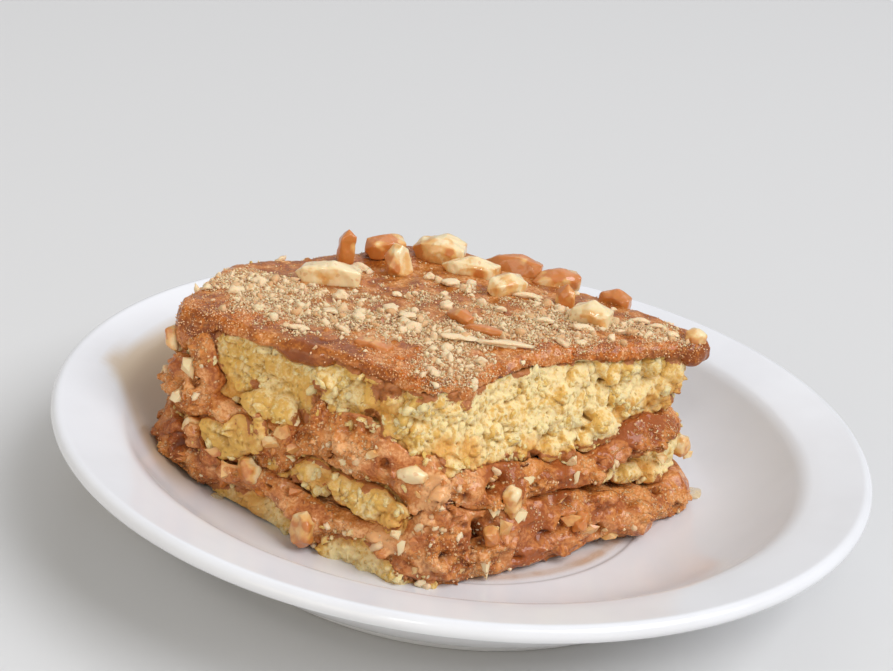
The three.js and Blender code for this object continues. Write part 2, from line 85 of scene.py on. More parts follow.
def plate_profile():
    """The plate's outline from the axis over the floor, the rim and the foot back to the axis."""
    upper = [at(0, 6.3), at(20, 6.3), at(36, 6.3), at(44.2, 6.3)]
    upper += curve(at(44.2, 6.3), at(45.2, 6.3), at(45.6, 6.65), 4)
    upper += curve(at(45.6, 6.65), at(46, 7), at(47, 7), 4)
    upper += curve(at(47, 7), at(66, 8.0), at(78.2, 22.7), 22)
    upper += curve(at(78.2, 22.7), at(79.8, 24.9), at(82.2, 25.6), 6)
    upper += [at(85, 26.35), at(88, 27.15), at(90.0, 27.68), at(91.2, 28.0)]
    rolled = arc(at(93.2, 26.7), 1.8, 112, -90, 12)
    lower = [at(89, 23.8), at(85, 22.9)]
    lower += curve(at(85, 22.9), at(81, 21), at(77, 15))
    lower += curve(at(77, 15), at(70, 5.5), at(62, 2.8))
    foot = [at(61.2, 0.5), at(60.6, 0), at(58, 0), at(57.4, 0.5), at(56.5, 2.6), at(30, 2.6), at(0, 2.6)]
    return upper + rolled + lower + foot


def read(elements, name, width=3):
    """One value of every vertex or face of a mesh, as an array."""
    values = np.empty(len(elements) * width, np.float32)
    elements.foreach_get(name, values)
    return values.reshape(-1, width) if width > 1 else values


def ordered(piece):
    """Puts a piece's vertices and faces in the order of their places. Merging leaves them in any order."""
    points = read(piece.data.vertices, "co").round(7)
    order = np.lexsort(points.T)
    rank = np.argsort(order)
    faces = [rank[list(face.vertices)].tolist() for face in piece.data.polygons]
    faces = sorted(face[face.index(min(face)):] + face[:face.index(min(face))] for face in faces)
    piece.data.clear_geometry()
    piece.data.from_pydata(points[order].tolist(), [], faces)
    piece.data.update()


def turned(name, profile, steps):
    """A body of revolution: a vertex is drawn along the profile and the line is spun round the axis."""
    bpy.ops.object.select_all(action="DESELECT")
    bpy.ops.mesh.primitive_plane_add(size=MM, location=(0, 0, 0))
    piece = bpy.context.object
    piece.name = name
    bpy.ops.object.mode_set(mode="EDIT")
    bpy.ops.mesh.select_all(action="SELECT")
    bpy.ops.mesh.merge(type="CENTER")
    bpy.ops.transform.translate(value=profile[0])
    for before, after in zip(profile, profile[1:]):
        bpy.ops.mesh.extrude_region_move(TRANSFORM_OT_translate={"value": after - before})
    bpy.ops.mesh.select_all(action="SELECT")
    bpy.ops.mesh.spin(steps=steps, angle=math.tau, center=(0, 0, 0), axis=(0, 0, 1))
    bpy.ops.mesh.select_all(action="SELECT")
    bpy.ops.mesh.remove_doubles(threshold=0.001 * MM)
    bpy.ops.mesh.normals_make_consistent(inside=False)
    bpy.ops.object.mode_set(mode="OBJECT")
    ordered(piece)
    bpy.ops.object.shade_smooth_by_angle(angle=math.radians(40))
    return piece


def add(tree, kind, values=None, **settings):
    """A new shader node. values gives its inputs numbers, colours or other nodes' outputs."""
    made = tree.nodes.new(kind)
    for name, value in settings.items():
        setattr(made, name, value)
    for name, value in (values or {}).items():
        if isinstance(value, bpy.types.NodeSocket):
            tree.links.new(value, made.inputs[name])
        else:
            made.inputs[name].default_value = value
    return made


def mixed(tree, share, first, second):
    """The colour between first and second."""
    return add(tree, "ShaderNodeMix", {0: share, 6: first, 7: second}, data_type="RGBA").outputs[2]


def ramped(tree, value, low, high, start=0.0, end=1.0):
    """value brought from the range low to high, softly, to the range start to end."""
    return add(tree, "ShaderNodeMapRange", {0: value, 1: low, 2: high, 3: start, 4: end},
               interpolation_type="SMOOTHSTEP").outputs[0]


def calculated(tree, operation, first, second=0.0):
    """The result of a sum on two numbers."""
    return add(tree, "ShaderNodeMath", {0: first, 1: second}, operation=operation).outputs[0]


def stored(tree, name):
    """The number kept for every vertex under a name."""
    return add(tree, "ShaderNodeAttribute", attribute_name=name).outputs["Fac"]


def new_finish(name, **uniform):
    """A new material, its tree and its shader, with the values that are the same all over."""
    material = bpy.data.materials.new(name)
    material.use_nodes = True
    tree = material.node_tree
    tree.nodes.clear()
    shader = add(tree, "ShaderNodeBsdfPrincipled")
    for socket, value in uniform.items():
        shader.inputs[socket.replace("_", " ")].default_value = value
    add(tree, "ShaderNodeOutputMaterial", {"Surface": shader.outputs[0]})
    return material, tree, shader


def bumped(tree, shader, height, distance, strength):
    """Feeds the shader's normal from a height, distance deep."""
    bump = add(tree, "ShaderNodeBump", {"Height": height, "Distance": distance, "Strength": strength})
    tree.links.new(bump.outputs[0], shader.inputs["Normal"])


def food_grain_group():
    """Unevenness shared by all finishes, for sizes in metres: broad patches, fine grain, and ragged specks
    that take up a share of the surface. All run from 0 to 1."""
    group = bpy.data.node_groups.new("food_grain", "ShaderNodeTree")
    for socket in ("Patch Size", "Grain Size", "Speck Size", "Speck Share"):
        group.interface.new_socket(socket, in_out="INPUT", socket_type="NodeSocketFloat")
    for socket in ("Patch", "Grain", "Speck", "Tone"):
        group.interface.new_socket(socket, in_out="OUTPUT", socket_type="NodeSocketFloat")
    given = group.nodes.new("NodeGroupInput").outputs
    place = add(group, "ShaderNodeTexCoord").outputs["Object"]
    scales = [calculated(group, "DIVIDE", 1.0, given[i]) for i in range(3)]
    patch = add(group, "ShaderNodeTexNoise", {"Vector": place, "Scale": scales[0], "Detail": 3.0})
    fine = {"Vector": place, "Scale": scales[1], "Detail": 3.0, "Roughness": 0.6}
    grain = add(group, "ShaderNodeTexNoise", fine)
    twist = add(group, "ShaderNodeTexNoise", {"Vector": place, "Scale": scales[2], "Detail": 1.0})
    bend = add(group, "ShaderNodeVectorMath", {0: twist.outputs["Color"], "Scale": given[2]},
               operation="SCALE")
    bent = add(group, "ShaderNodeVectorMath", {0: place, 1: bend.outputs[0]}, operation="ADD")
    cells = add(group, "ShaderNodeTexVoronoi", {"Vector": bent.outputs[0], "Scale": scales[2]})
    tone = add(group, "ShaderNodeSeparateColor", {0: cells.outputs["Color"]})
    kept = calculated(group, "LESS_THAN", tone.outputs[0], given[3])
    core = ramped(group, cells.outputs["Distance"], 0.3, 0.55, 1.0, 0.0)
    result = group.nodes.new("NodeGroupOutput")
    group.links.new(ramped(group, patch.outputs[0], 0.35, 0.65), result.inputs["Patch"])
    group.links.new(grain.outputs[0], result.inputs["Grain"])
    group.links.new(calculated(group, "MULTIPLY", kept, core), result.inputs["Speck"])
    group.links.new(tone.outputs[1], result.inputs["Tone"])
    return group


FOOD_GRAIN = food_grain_group()


def grain(tree, patch, fine, speck, share):
    """The shared unevenness in one finish: its sizes in metres, and the specks' share as a number or an
    output."""
    made = add(tree, "ShaderNodeGroup")
    made.node_tree = FOOD_GRAIN
    for name, size in (("Patch Size", patch), ("Grain Size", fine), ("Speck Size", speck)):
        made.inputs[name].default_value = size
    if isinstance(share, bpy.types.NodeSocket):
        tree.links.new(share, made.inputs["Speck Share"])
    else:
        made.inputs["Speck Share"].default_value = share
    return made.outputs


def marked(piece, name, values):
    """Keeps one number for every vertex, for the finish to read."""
    attribute = piece.data.attributes.new(name, "FLOAT", "POINT")
    attribute.data.foreach_set("value", np.asarray(values, np.float32))


def eased(values, low, high):
    """values from 0 at low to 1 at high, softly."""
    share = np.clip((values - low) / (high - low), 0, 1)
    return share * share * (3 - 2 * share)


def porcelain():
    """White porcelain under a clear glaze, with faint unevenness in the glaze, and the cake's warm shadow
    and reflection painted on the left-hand wall.
    """
    material, tree, shader = new_finish("white_porcelain", IOR=1.5)
    parts = grain(tree, 22 * MM, 5 * MM, 3 * MM, 0.1)
    colour = mixed(tree, parts["Patch"], PORCELAIN, PORCELAIN_SHADE)
    # The cake's warm shadow and reflection on the left-hand wall, painted into the glaze's colour.
    painted_shadow_share = calculated(tree, "MULTIPLY", stored(tree, "painted_cake_shadow"), 0.85)
    tree.links.new(mixed(tree, painted_shadow_share, colour, PORCELAIN_PAINTED_SHADOW), shader.inputs["Base Color"])
    tree.links.new(ramped(tree, parts["Grain"], 0.3, 0.7, 0.14, 0.2), shader.inputs["Roughness"])
    bumped(tree, shader, parts["Patch"], 0.05 * MM, 0.4)
    return material


def painted_cake_shadow(points):
    """How strongly the cake's warm shadow and reflection are painted on the glaze at points. They fade away
    from their corner.
    """
    x, y = (points[:, :2] / MM - PAINTED_SHADOW_CORNER).T
    inside = [way[0] * x + way[1] * y for way in PAINTED_SHADOW_WAYS]
    corner = eased(np.minimum(*inside), -0.8, 3.5)
    return corner * eased(-x, -36, -24) * eased(y, -42, -24) * (points[:, 2] > WALL_FOOT)


plate = turned("plate_glazed", plate_profile(), PLATE_STEPS)
# Paints the cake's warm shadow and reflection on the plate's left-hand wall.
marked(plate, "painted_cake_shadow", painted_cake_shadow(read(plate.data.vertices, "co")))
plate.data.materials.append(porcelain())
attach(plate, "root")
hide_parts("plate")


# Sponges
# Three layers of pale yellow sponge, baked in a sheet, cut and soaked: a lumpy open crumb with pores,
# torn where the slice was cut, golden where syrup has soaked it, and smeared with custard at the edges.

CAKE_VOXEL = 0.35 * MM
SPONGE_PALE = (0.87, 0.69, 0.35, 1)
SPONGE_YELLOW = (0.72, 0.43, 0.10, 1)
# Painted shade in the crumb's hollows and pores, darkest in its deepest hollows.
SPONGE_HOLLOW_SHADE = (0.48, 0.27, 0.06, 1)
SPONGE_DEEP_SHADE = (0.20, 0.08, 0.015, 1)
SPONGE_SOAKED = (0.71, 0.37, 0.08, 1)
SPONGE_SMEARED = (0.44, 0.155, 0.04, 1)
SOAK_REACH = 1.2 * MM
# The ways that the left-hand and the right-hand front face run, in radians.
LEFT = -0.48
RIGHT = 0.65
# Places in millimetres. Where sponge pushes out through the custard, each bulge has its half widths and
# turn. Smears of custard and soaked spots have a radius, dents a radius and a depth. Shades are darker
# places, or paler ones below 0: partly painted shade and painted light where a face is shaded or lit,
# partly the sponge's own colour.
SPONGES = [
    {"node": "sponge_bottom", "lumps": 50, "seed": 11,
     "beside": ["custard_lower", "plate"],
     "bulges": [((-42.8, -29.8, 10.6), (4.4, 2.0, 2.6), LEFT),
                ((-37.6, -32.4, 9.9), (3.2, 2.0, 3.0), LEFT),
                ((-22.7, -40.4, 8.2), (6.0, 2.2, 4.0), LEFT),
                ((-14.7, -44.9, 8.8), (5.0, 2.4, 4.2), LEFT),
                ((-11.4, -47.6, 9.0), (4.0, 3.0, 3.4), LEFT)],
     "smears": [((-30, -36.5, 9), 2.5)],
     "soaks": [((-45, -28, 9), 6), ((-10, -47, 8), 3)],
     "shades": [((-14, -44.7, 9), 8, -1.0), ((-41, -30, 11), 8, -0.9), ((-24, -39, 9), 7, -0.9)],
     "dents": [((-23.5, -40.5, 9.4), 1.1, 1.6), ((-19, -43, 7.5), 0.9, 1.4)]},
    {"node": "sponge_middle", "lumps": 50, "seed": 12,
     "beside": ["custard_lower", "custard_upper"],
     "bulges": [((-54.0, -24.3, 24.6), (4.4, 2.4, 4.6), LEFT),
                ((-48.3, -28.2, 27.0), (4.4, 2.4, 5.0), LEFT),
                ((-50.2, -26.4, 22.0), (4.2, 2.4, 2.8), LEFT),
                ((-44.4, -30.6, 28.8), (2.0, 1.8, 5.2), LEFT),
                ((-30.4, -35.4, 22.8), (4.6, 2.2, 4.4), LEFT),
                ((-24.2, -38.6, 22.2), (3.8, 2.2, 4.0), LEFT),
                ((-17.3, -42.2, 21.6), (5.8, 2.4, 4.6), LEFT),
                ((-12.0, -45.6, 20.2), (3.2, 2.0, 4.2), LEFT),
                ((38.7, -10.4, 20.0), (5.0, 2.2, 2.8), RIGHT),
                ((45.2, -5.6, 18.4), (3.8, 2.2, 3.0), RIGHT),
                ((32.1, -16.6, 21.4), (4.0, 1.8, 1.8), RIGHT)],
     "smears": [((46, -6, 16.8), 2.6), ((34, -14, 20), 2.0), ((-27.7, -36.5, 19.6), 2.6)],
     "soaks": [((42, -8, 18), 5), ((-28, -36.5, 22.5), 4), ((-12, -46, 21), 4)],
     "shades": [((-53, -25, 26), 6, 0.45), ((-47, -28, 26), 4, 0.4), ((-16, -43, 22), 6, 0.35)],
     "dents": [((-27.7, -37.5, 22.8), 1.8, 2.4), ((42.2, -8.6, 20.8), 1.1, 2.6),
               ((36.5, -12.5, 21.2), 1.0, 1.8), ((48.3, -5.0, 19.0), 1.2, 2.2)]},
    {"node": "sponge_top", "lumps": 90, "seed": 13,
     "beside": ["custard_upper", "topping"],
     "bulges": [((-44.6, -28.0, 34.5), (4.0, 2.2, 3.6), LEFT),
                ((-39.3, -30.2, 34.5), (3.6, 2.2, 3.6), LEFT),
                ((30.6, -14.8, 32.5), (4.4, 2.2, 4.6), RIGHT),
                ((27.6, -17.0, 29.8), (3.0, 2.0, 2.6), RIGHT),
                ((23.1, -20.6, 28.8), (2.4, 2.0, 3.8), RIGHT),
                ((19.5, -22.9, 29.2), (3.0, 1.8, 2.6), RIGHT)],
     "smears": [((-60, -20, 43), 4.5), ((-57.5, -20.6, 37), 4.2), ((-31.8, -33, 43), 2.2),
                ((-31.6, -33.2, 39), 2.3), ((-31.4, -33.6, 35), 2.6), ((-18.5, -38.4, 46.0), 2.6),
                ((-16.2, -39.0, 48), 3), ((-3.2, -38.3, 47.6), 2.4), ((-0.6, -37.7, 45.2), 1.7),
                ((-46, -25.8, 38.5), 1.8), ((48.5, -0.5, 36.5), 2.2)],
     "soaks": [((0.6, -38, 33.5), 4.5), ((13.7, -28, 30), 5), ((-17, -38, 42), 4), ((51, 2, 39), 6),
               ((-33, -33, 40), 3), ((-52, -22, 34), 4), ((36, -10.5, 36), 3), ((47, -1, 37.5), 6),
               ((41.5, -5, 36.5), 3), ((-4, -41.5, 36), 3)],
     "shades": [((47, -1, 38), 4, 0.5), ((7, -32, 38), 6, 0.15), ((31, -14, 31), 5, -0.8)],
     "dents": [((-25, -37.5, 39.5), 2.2, 3.0), ((-20.2, -39, 39.4), 1.7, 2.6),
               ((-31.2, -33.6, 41.0), 1.2, 3.2), ((-55.6, -20.7, 36.9), 1.3, 2.4),
               ((27.0, -16.4, 35.8), 1.1, 2.6), ((30, -13.4, 42.8), 0.9, 1.4),
               ((34.5, -11.2, 35.3), 1.4, 2.2), ((38.5, -8.4, 44.0), 0.8, 1.4),
               ((17.5, -24.5, 38.5), 1.6, 1.2)]},
]


def pick(*pieces):
    """Selects these pieces alone and makes the first one active."""
    bpy.ops.object.select_all(action="DESELECT")
    for piece in pieces:
        piece.select_set(True)
    bpy.context.view_layer.objects.active = pieces[0]


def kept(piece, finish, slot, node=None, angle=None):
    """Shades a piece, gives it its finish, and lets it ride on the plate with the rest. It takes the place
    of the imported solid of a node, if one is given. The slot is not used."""
    pick(piece)
    if angle:
        bpy.ops.object.shade_smooth_by_angle(angle=math.radians(angle))
    else:
        bpy.ops.object.shade_smooth()
    piece.data.materials.append(finish)
    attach(piece, "root")
    if node:
        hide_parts(node)


def finished(piece, kind, **settings):
    """Adds a modifier to a piece and applies it."""
    pick(piece)
    modifier = piece.modifiers.new(kind.lower(), kind)
    for name, value in settings.items():
        setattr(modifier, name, value)
    bpy.ops.object.modifier_apply(modifier=modifier.name)


def merged_copy(node, name):
    """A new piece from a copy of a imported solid, with its doubled vertices merged."""
    piece = bpy.data.objects.new(name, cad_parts[node].data.copy())
    bpy.context.scene.collection.objects.link(piece)
    piece.data.materials.clear()
    pick(piece)
    bpy.ops.object.mode_set(mode="EDIT")
    bpy.ops.mesh.select_all(action="SELECT")
    bpy.ops.mesh.remove_doubles(threshold=0.001 * MM)
    bpy.ops.object.mode_set(mode="OBJECT")
    ordered(piece)
    return piece


def joined(piece, other):
    """piece with other added to its mesh."""
    pick(piece, other)
    bpy.ops.object.join()


def shifted(piece, heights):
    """Moves every vertex of a piece out along its normal by its height."""
    vertices = piece.data.vertices
    places = read(vertices, "co") + read(vertices, "normal") * heights[:, None]
    vertices.foreach_set("co", places.astype(np.float32).ravel())
    piece.data.update()


def clouds(points, size, seed, octaves=1):
    """Smooth noise from -1 to 1 at points, its swells about size wide, with finer ones added by octaves."""
    total = np.zeros(len(points))
    for octave in range(octaves):
        table = np.random.default_rng((seed, octave)).uniform(-1, 1, (32, 32, 32))
        place = points / size * 2 ** octave
        corner = np.floor(place).astype(int)
        share = place - corner
        share = share * share * (3 - 2 * share)
        for step in itertools.product((0, 1), repeat=3):
            weight = np.prod(np.where(step, share, 1 - share), axis=1)
            total += weight * table[tuple(((corner + step) % 32).T)] / 2 ** octave
    return total


def cells(points, size, seed):
    """Cells about size wide round scattered middles: the distances from points to the nearest middle and to
    the next one, as shares of size, and a random number of the cell."""
    table = np.random.default_rng(seed).random((32, 32, 32, 4))
    place = points / size
    corner = np.floor(place).astype(int)
    nearest = np.full(len(points), 9.0)
    following = np.full(len(points), 9.0)
    number = np.zeros(len(points))
    for step in itertools.product((-1, 0, 1), repeat=3):
        cell = corner + step
        found = table[tuple((cell % 32).T)]
        distance = np.linalg.norm(cell + found[:, :3] - place, axis=1)
        closer = distance < nearest
        following = np.where(closer, nearest, np.minimum(following, distance))
        number = np.where(closer, found[:, 3], number)
        nearest = np.minimum(nearest, distance)
    return nearest, following, number


def bent(points, size, reach, seed):
    """points moved about by up to reach, so that cells on them come out ragged."""
    return points + reach * np.stack([clouds(points, size, (seed, axis)) for axis in range(3)], 1)


def spots(points, places):
    """How near points are to the nearest of some places, each with its radius: 1 at its middle."""
    nearest = np.zeros(len(points))
    for place, radius in places:
        away = np.linalg.norm(points / MM - place, axis=1) / radius
        nearest = np.maximum(nearest, np.exp(-away ** 2))
    return nearest


def spotted(points, places):
    """The sum of some soft spots at points. Each has a place, a radius and an amount, such as its depth."""
    return sum(amount * spots(points, [(place, radius)]) for place, radius, amount in places)


def taken(piece):
    """A piece's points and faces as arrays. The piece itself is removed."""
    points = read(piece.data.vertices, "co")
    faces = np.array([face.vertices[:] for face in piece.data.polygons])
    bpy.data.objects.remove(piece)
    return points, faces


def lump(subdivisions, seed, uneven):
    """A small lump of radius 1, from a sphere with its vertices moved about."""
    bpy.ops.object.select_all(action="DESELECT")
    bpy.ops.mesh.primitive_ico_sphere_add(subdivisions=subdivisions, radius=1)
    bpy.ops.object.mode_set(mode="EDIT")
    bpy.ops.transform.vertex_random(offset=uneven, uniform=1.0, seed=seed)
    bpy.ops.object.mode_set(mode="OBJECT")
    return taken(bpy.context.object)


LUMPS = [lump(2, seed, 0.3) for seed in (1, 2, 3, 4)]


def places_on(piece, count, random, weight):
    """Places on a piece's faces, thickest where weight is high, and the way that each face looks."""
    faces = piece.data.polygons
    centres = read(faces, "center")
    normals = read(faces, "normal")
    chance = read(faces, "area", 1) * weight(centres, normals)
    chosen = random.choice(len(chance), count, p=chance / chance.sum())
    return centres[chosen], normals[chosen]


def strewn(name, shapes, centres, normals, sides, random, sunk, note="tint", turning=True, tints=None):
    """One mesh of many small lumps, partly sunk in what they lie on. sides gives each one's width, or its
    three widths. Each is turned at random and keeps its tint, a random number if none is given, under the
    name note."""
    count = len(centres)
    kinds = random.integers(len(shapes), size=count)
    turns = random.normal(size=(count, 4)) if turning else np.tile((1.0, 0, 0, 0), (count, 1))
    w, x, y, z = (turns / np.linalg.norm(turns, axis=1, keepdims=True)).T
    matrices = np.stack([
        1 - 2 * (y * y + z * z), 2 * (x * y - z * w), 2 * (x * z + y * w),
        2 * (x * y + z * w), 1 - 2 * (x * x + z * z), 2 * (y * z - x * w),
        2 * (x * z - y * w), 2 * (y * z + x * w), 1 - 2 * (x * x + y * y),
    ], 1).reshape(count, 3, 3)
    if sides.ndim == 1:
        sides = sides[:, None] * random.uniform(0.5, 1.4, (count, 3))
    middles = centres + normals * (sides.mean(1) * (0.5 - sunk))[:, None]
    tints = random.random(count) if tints is None else np.array(tints)
    points, faces, point_tints, total = [], [], [], 0
    for kind, (shape_points, shape_faces) in enumerate(shapes):
        chosen = np.flatnonzero(kinds == kind)
        scaled = shape_points[None] * sides[chosen, None] / 2
        placed = np.einsum("nij,nkj->nki", matrices[chosen], scaled) + middles[chosen, None]
        points.append(placed.reshape(-1, 3))
        starts = total + len(shape_points) * np.arange(len(chosen))
        faces.append((shape_faces[None] + starts[:, None, None]).reshape(-1, 3))
        point_tints.append(np.repeat(tints[chosen], len(shape_points)))
        total += len(chosen) * len(shape_points)
    mesh = bpy.data.meshes.new(name)
    mesh.from_pydata(np.concatenate(points).tolist(), [], np.concatenate(faces).tolist())
    piece = bpy.data.objects.new(name, mesh)
    bpy.context.scene.collection.objects.link(piece)
    marked(piece, note, np.concatenate(point_tints))
    return piece


def on_walls(centres, normals):
    """Weight of the faces that stand, and of none that lie."""
    return np.clip(1.4 - 2 * np.abs(normals[:, 2]), 0, 1)


def distances(points, nodes):
    """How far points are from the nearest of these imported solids."""
    corners, faces = [], []
    for node in nodes:
        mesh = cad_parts[node].data
        faces += [[len(corners) + i for i in face.vertices] for face in mesh.polygons]
        corners += [vertex.co for vertex in mesh.vertices]
    solids = BVHTree.FromPolygons(corners, faces)
    return np.array([solids.find_nearest(point)[3] for point in points.tolist()])


def blob(name, place, halves, turn):
    """A smooth rounded body, from a sphere with its half widths and turn."""
    bpy.ops.object.select_all(action="DESELECT")
    bpy.ops.mesh.primitive_uv_sphere_add(segments=24, ring_count=12, radius=1)
    piece = bpy.context.object
    piece.name = name
    move = Matrix.Translation(Vector(place) * MM) @ Matrix.Rotation(turn, 4, "Z")
    piece.data.transform(move @ Matrix.Diagonal((*(Vector(halves) * MM), 1)))
    ordered(piece)
    return piece


def thinned(piece, hidden):
    """Gives few faces to the parts of a piece that don't show. hidden are their vertices."""
    piece.vertex_groups.new(name="hidden").add(hidden.tolist(), 1.0, "REPLACE")
    share = 1 - 0.9 * len(hidden) / len(piece.data.vertices)
    finished(piece, "DECIMATE", ratio=share, vertex_group="hidden", vertex_group_factor=10)
    piece.vertex_groups.clear()


def cast(layer, name, sizes, random, smoothing):
    """A layer's body: its solid with bulges and with lumps on its walls, remeshed finely and smoothed. The
    faces that lie against the layers beside it don't show, and get few faces."""
    piece = merged_copy(layer["node"], name)
    for place, halves, turn in layer["bulges"]:
        joined(piece, blob("bulge", place, halves, turn))
    places, ways = places_on(piece, layer["lumps"], random, on_walls)
    widths = (sizes[0] + (sizes[1] - sizes[0]) * random.random(len(places)) ** 2) * MM
    joined(piece, strewn("lumps", LUMPS, places, ways, widths, random, sunk=0.7))
    finished(piece, "REMESH", mode="VOXEL", voxel_size=CAKE_VOXEL)
    finished(piece, "SMOOTH", factor=0.5, iterations=smoothing)
    lying = np.flatnonzero(np.abs(read(piece.data.vertices, "normal")[:, 2]) > 0.7)
    near = distances(read(piece.data.vertices, "co")[lying], layer["beside"]) < 0.9 * MM
    thinned(piece, lying[near])
    return piece


def note_hollow_shade(piece, depth, more=0.0):
    """Keeps how far each vertex lies under the smoothed surface, as a share of depth with more added. The
    attribute, named after the hollows, is what the finishes paint shade by."""
    smoothed = bpy.data.objects.new("smoothed", piece.data.copy())
    bpy.context.scene.collection.objects.link(smoothed)
    finished(smoothed, "SMOOTH", factor=0.5, iterations=40)
    under = read(smoothed.data.vertices, "co") - read(piece.data.vertices, "co")
    sunken = (under * read(piece.data.vertices, "normal")).sum(1) / depth
    bpy.data.objects.remove(smoothed)
    marked(piece, "hollow_shade", np.clip(sunken + more, -1, 1))


def domed(near, low):
    """Round domes over the middles of cells, from their distances. Parts under low are flat."""
    return np.maximum(0.5 - near * near, low)


def torn_crumb(points, seed):
    """How far torn sponge stands out at points, in millimetres: round crumbs in three sizes, with creases
    and pores between them. The second result is a random number of each crumb."""
    ragged = bent(points, 2.6 * MM, 0.8 * MM, seed)
    near, following, number = cells(ragged, 4.2 * MM, seed)
    fine_near, _, fine_number = cells(ragged, 2.1 * MM, seed + 1)
    least_near, _, least_number = cells(ragged, 1.15 * MM, seed + 4)
    torn = eased(clouds(points, 8 * MM, seed + 2, 2), -0.4, 0.3)
    gaps = np.exp(-((following - near) / 0.16) ** 2)
    height = 1.1 * clouds(points, 10 * MM, seed + 3, 2)
    height += (0.4 + 0.6 * torn) * (1.6 * domed(near, -0.2) + 1.3 * (number - 0.5)) - 0.6 * gaps * torn
    height += (0.7 + 0.3 * torn) * (1.1 * domed(fine_near, -0.2) + 0.7 * (fine_number - 0.5))
    height += 0.6 * domed(least_near, -0.25)
    height -= 1.1 * (fine_number > 0.86) * eased(0.5 - fine_near, 0, 0.3) * torn
    height -= 0.8 * (least_number > 0.84) * eased(0.55 - least_near, 0, 0.3)
    return height, 0.5 * number + 0.3 * fine_number + 0.2 * least_number


def sponge_finish():
    """Moist open crumb: cream and yellow lumps, painted shade in the gaps, hollows and pores, golden soaked
    places and smears of custard.
    """
    material, tree, shader = new_finish("sponge_crumb", Subsurface_Weight=0.25, Subsurface_Scale=2.5 * MM)
    shader.inputs["Subsurface Radius"].default_value = (1.0, 0.6, 0.22)
    parts = grain(tree, 5 * MM, 0.6 * MM, 0.7 * MM, 0.06)
    hollow_shade = stored(tree, "hollow_shade")
    soak = stored(tree, "soak")
    tone = calculated(tree, "ADD", stored(tree, "tint"), ramped(tree, parts["Patch"], 0.0, 1.0, -0.2, 0.2))
    tone = calculated(tree, "ADD", tone, ramped(tree, parts["Grain"], 0.3, 0.7, 0.3, -0.3))
    colour = mixed(tree, ramped(tree, tone, 0.2, 1.1), SPONGE_PALE, SPONGE_YELLOW)
    # Painted shade, deeper in the deeper hollows.
    colour = mixed(tree, ramped(tree, hollow_shade, 0.05, 0.65), colour, SPONGE_HOLLOW_SHADE)
    colour = mixed(tree, ramped(tree, hollow_shade, 0.6, 1.0), colour, SPONGE_DEEP_SHADE)
    ragged = calculated(tree, "MULTIPLY", calculated(tree, "SUBTRACT", parts["Grain"], 0.5), 0.9)
    wet = ramped(tree, calculated(tree, "ADD", soak, ragged), 0.15, 0.85)
    colour = mixed(tree, wet, colour, SPONGE_SOAKED)
    # Pores, painted with the same shade.
    colour = mixed(tree, calculated(tree, "MULTIPLY", parts["Speck"], 0.55), colour, SPONGE_HOLLOW_SHADE)
    smear = ramped(tree, calculated(tree, "ADD", stored(tree, "smear"), ragged), 0.35, 0.5)
    colour = mixed(tree, smear, colour, SPONGE_SMEARED)
    tree.links.new(colour, shader.inputs["Base Color"])
    gloss = calculated(tree, "MAXIMUM", smear, wet)
    tree.links.new(ramped(tree, gloss, 0.0, 1.0, 0.75, 0.38), shader.inputs["Roughness"])
    height = calculated(tree, "SUBTRACT", parts["Grain"], calculated(tree, "MULTIPLY", parts["Speck"], 0.5))
    bumped(tree, shader, height, 0.4 * MM, 0.85)
    return material


SPONGE_FINISH = sponge_finish()
# Painted light and shade: the left-hand face, in shade, is painted yellower and darker, and the lit
# right-hand face paler.
LEFT_WAY = np.array((math.sin(LEFT), -math.cos(LEFT), 0))
RIGHT_WAY = np.array((math.sin(RIGHT), -math.cos(RIGHT), 0))
sponges = []
for layer in SPONGES:
    random = np.random.default_rng(layer["seed"])
    sponge = cast(layer, layer["node"] + "_crumb", (2.2, 5.0), random, 4)
    points = read(sponge.data.vertices, "co")
    heights, tints = torn_crumb(points, layer["seed"])
    standing = on_walls(points, read(sponge.data.vertices, "normal"))
    heights = heights * standing - spotted(points, layer["dents"])
    shifted(sponge, heights * MM)
    finished(sponge, "SMOOTH", factor=0.4, iterations=1)
    normals = read(sponge.data.vertices, "normal")
    # Painted warm shade on the left-hand face and painted light on the right-hand face.
    side_light_tone = 0.6 * eased(normals @ LEFT_WAY, 0.2, 0.8) - 0.45 * eased(normals @ RIGHT_WAY, 0.2, 0.8)
    points = read(sponge.data.vertices, "co")
    # Spots painted darker or paler: partly the shade and light that fall there, partly the sponge's own
    # colour.
    shade = spotted(points, layer["shades"])
    note_hollow_shade(sponge, 0.9 * MM, 0.6 * shade)
    nearest = distances(points, ["custard_lower", "custard_upper", "topping"])
    reach = (0.5 + 2.6 * eased(clouds(points, 5 * MM, layer["seed"] + 5, 2), -0.1, 0.7)) * MM
    # The tint holds the crumbs' own tints with the side's painted light and shade and the darker or paler
    # spots.
    marked(sponge, "tint", tints + side_light_tone + 0.4 * shade)
    soaked = np.exp(-distances(points, ["custard_lower", "custard_upper"]) / SOAK_REACH)
    marked(sponge, "soak", np.maximum(soaked, spots(points, layer["soaks"])))
    marked(sponge, "smear", np.maximum(np.clip(1 - nearest / reach, 0, 1), spots(points, layer["smears"])))
    kept(sponge, SPONGE_FINISH, "sponge", layer["node"])
    sponges.append(sponge)


# Custard fillings
# Two layers of cooked caramel custard, spread between the sponges while soft: moist and glossy, with
# broken nuts and crumbs stirred in. They ooze out and run over the sponges, and sugar grains stick to them.

CUSTARD_SMOOTH = (0.55, 0.205, 0.068, 1)
CUSTARD_ORANGE = (0.60, 0.225, 0.050, 1)
CUSTARD_DEEP = (0.34, 0.088, 0.018, 1)
CUSTARD_AMBER = (0.56, 0.19, 0.026, 1)
CUSTARD_CREAM = (0.80, 0.42, 0.18, 1)
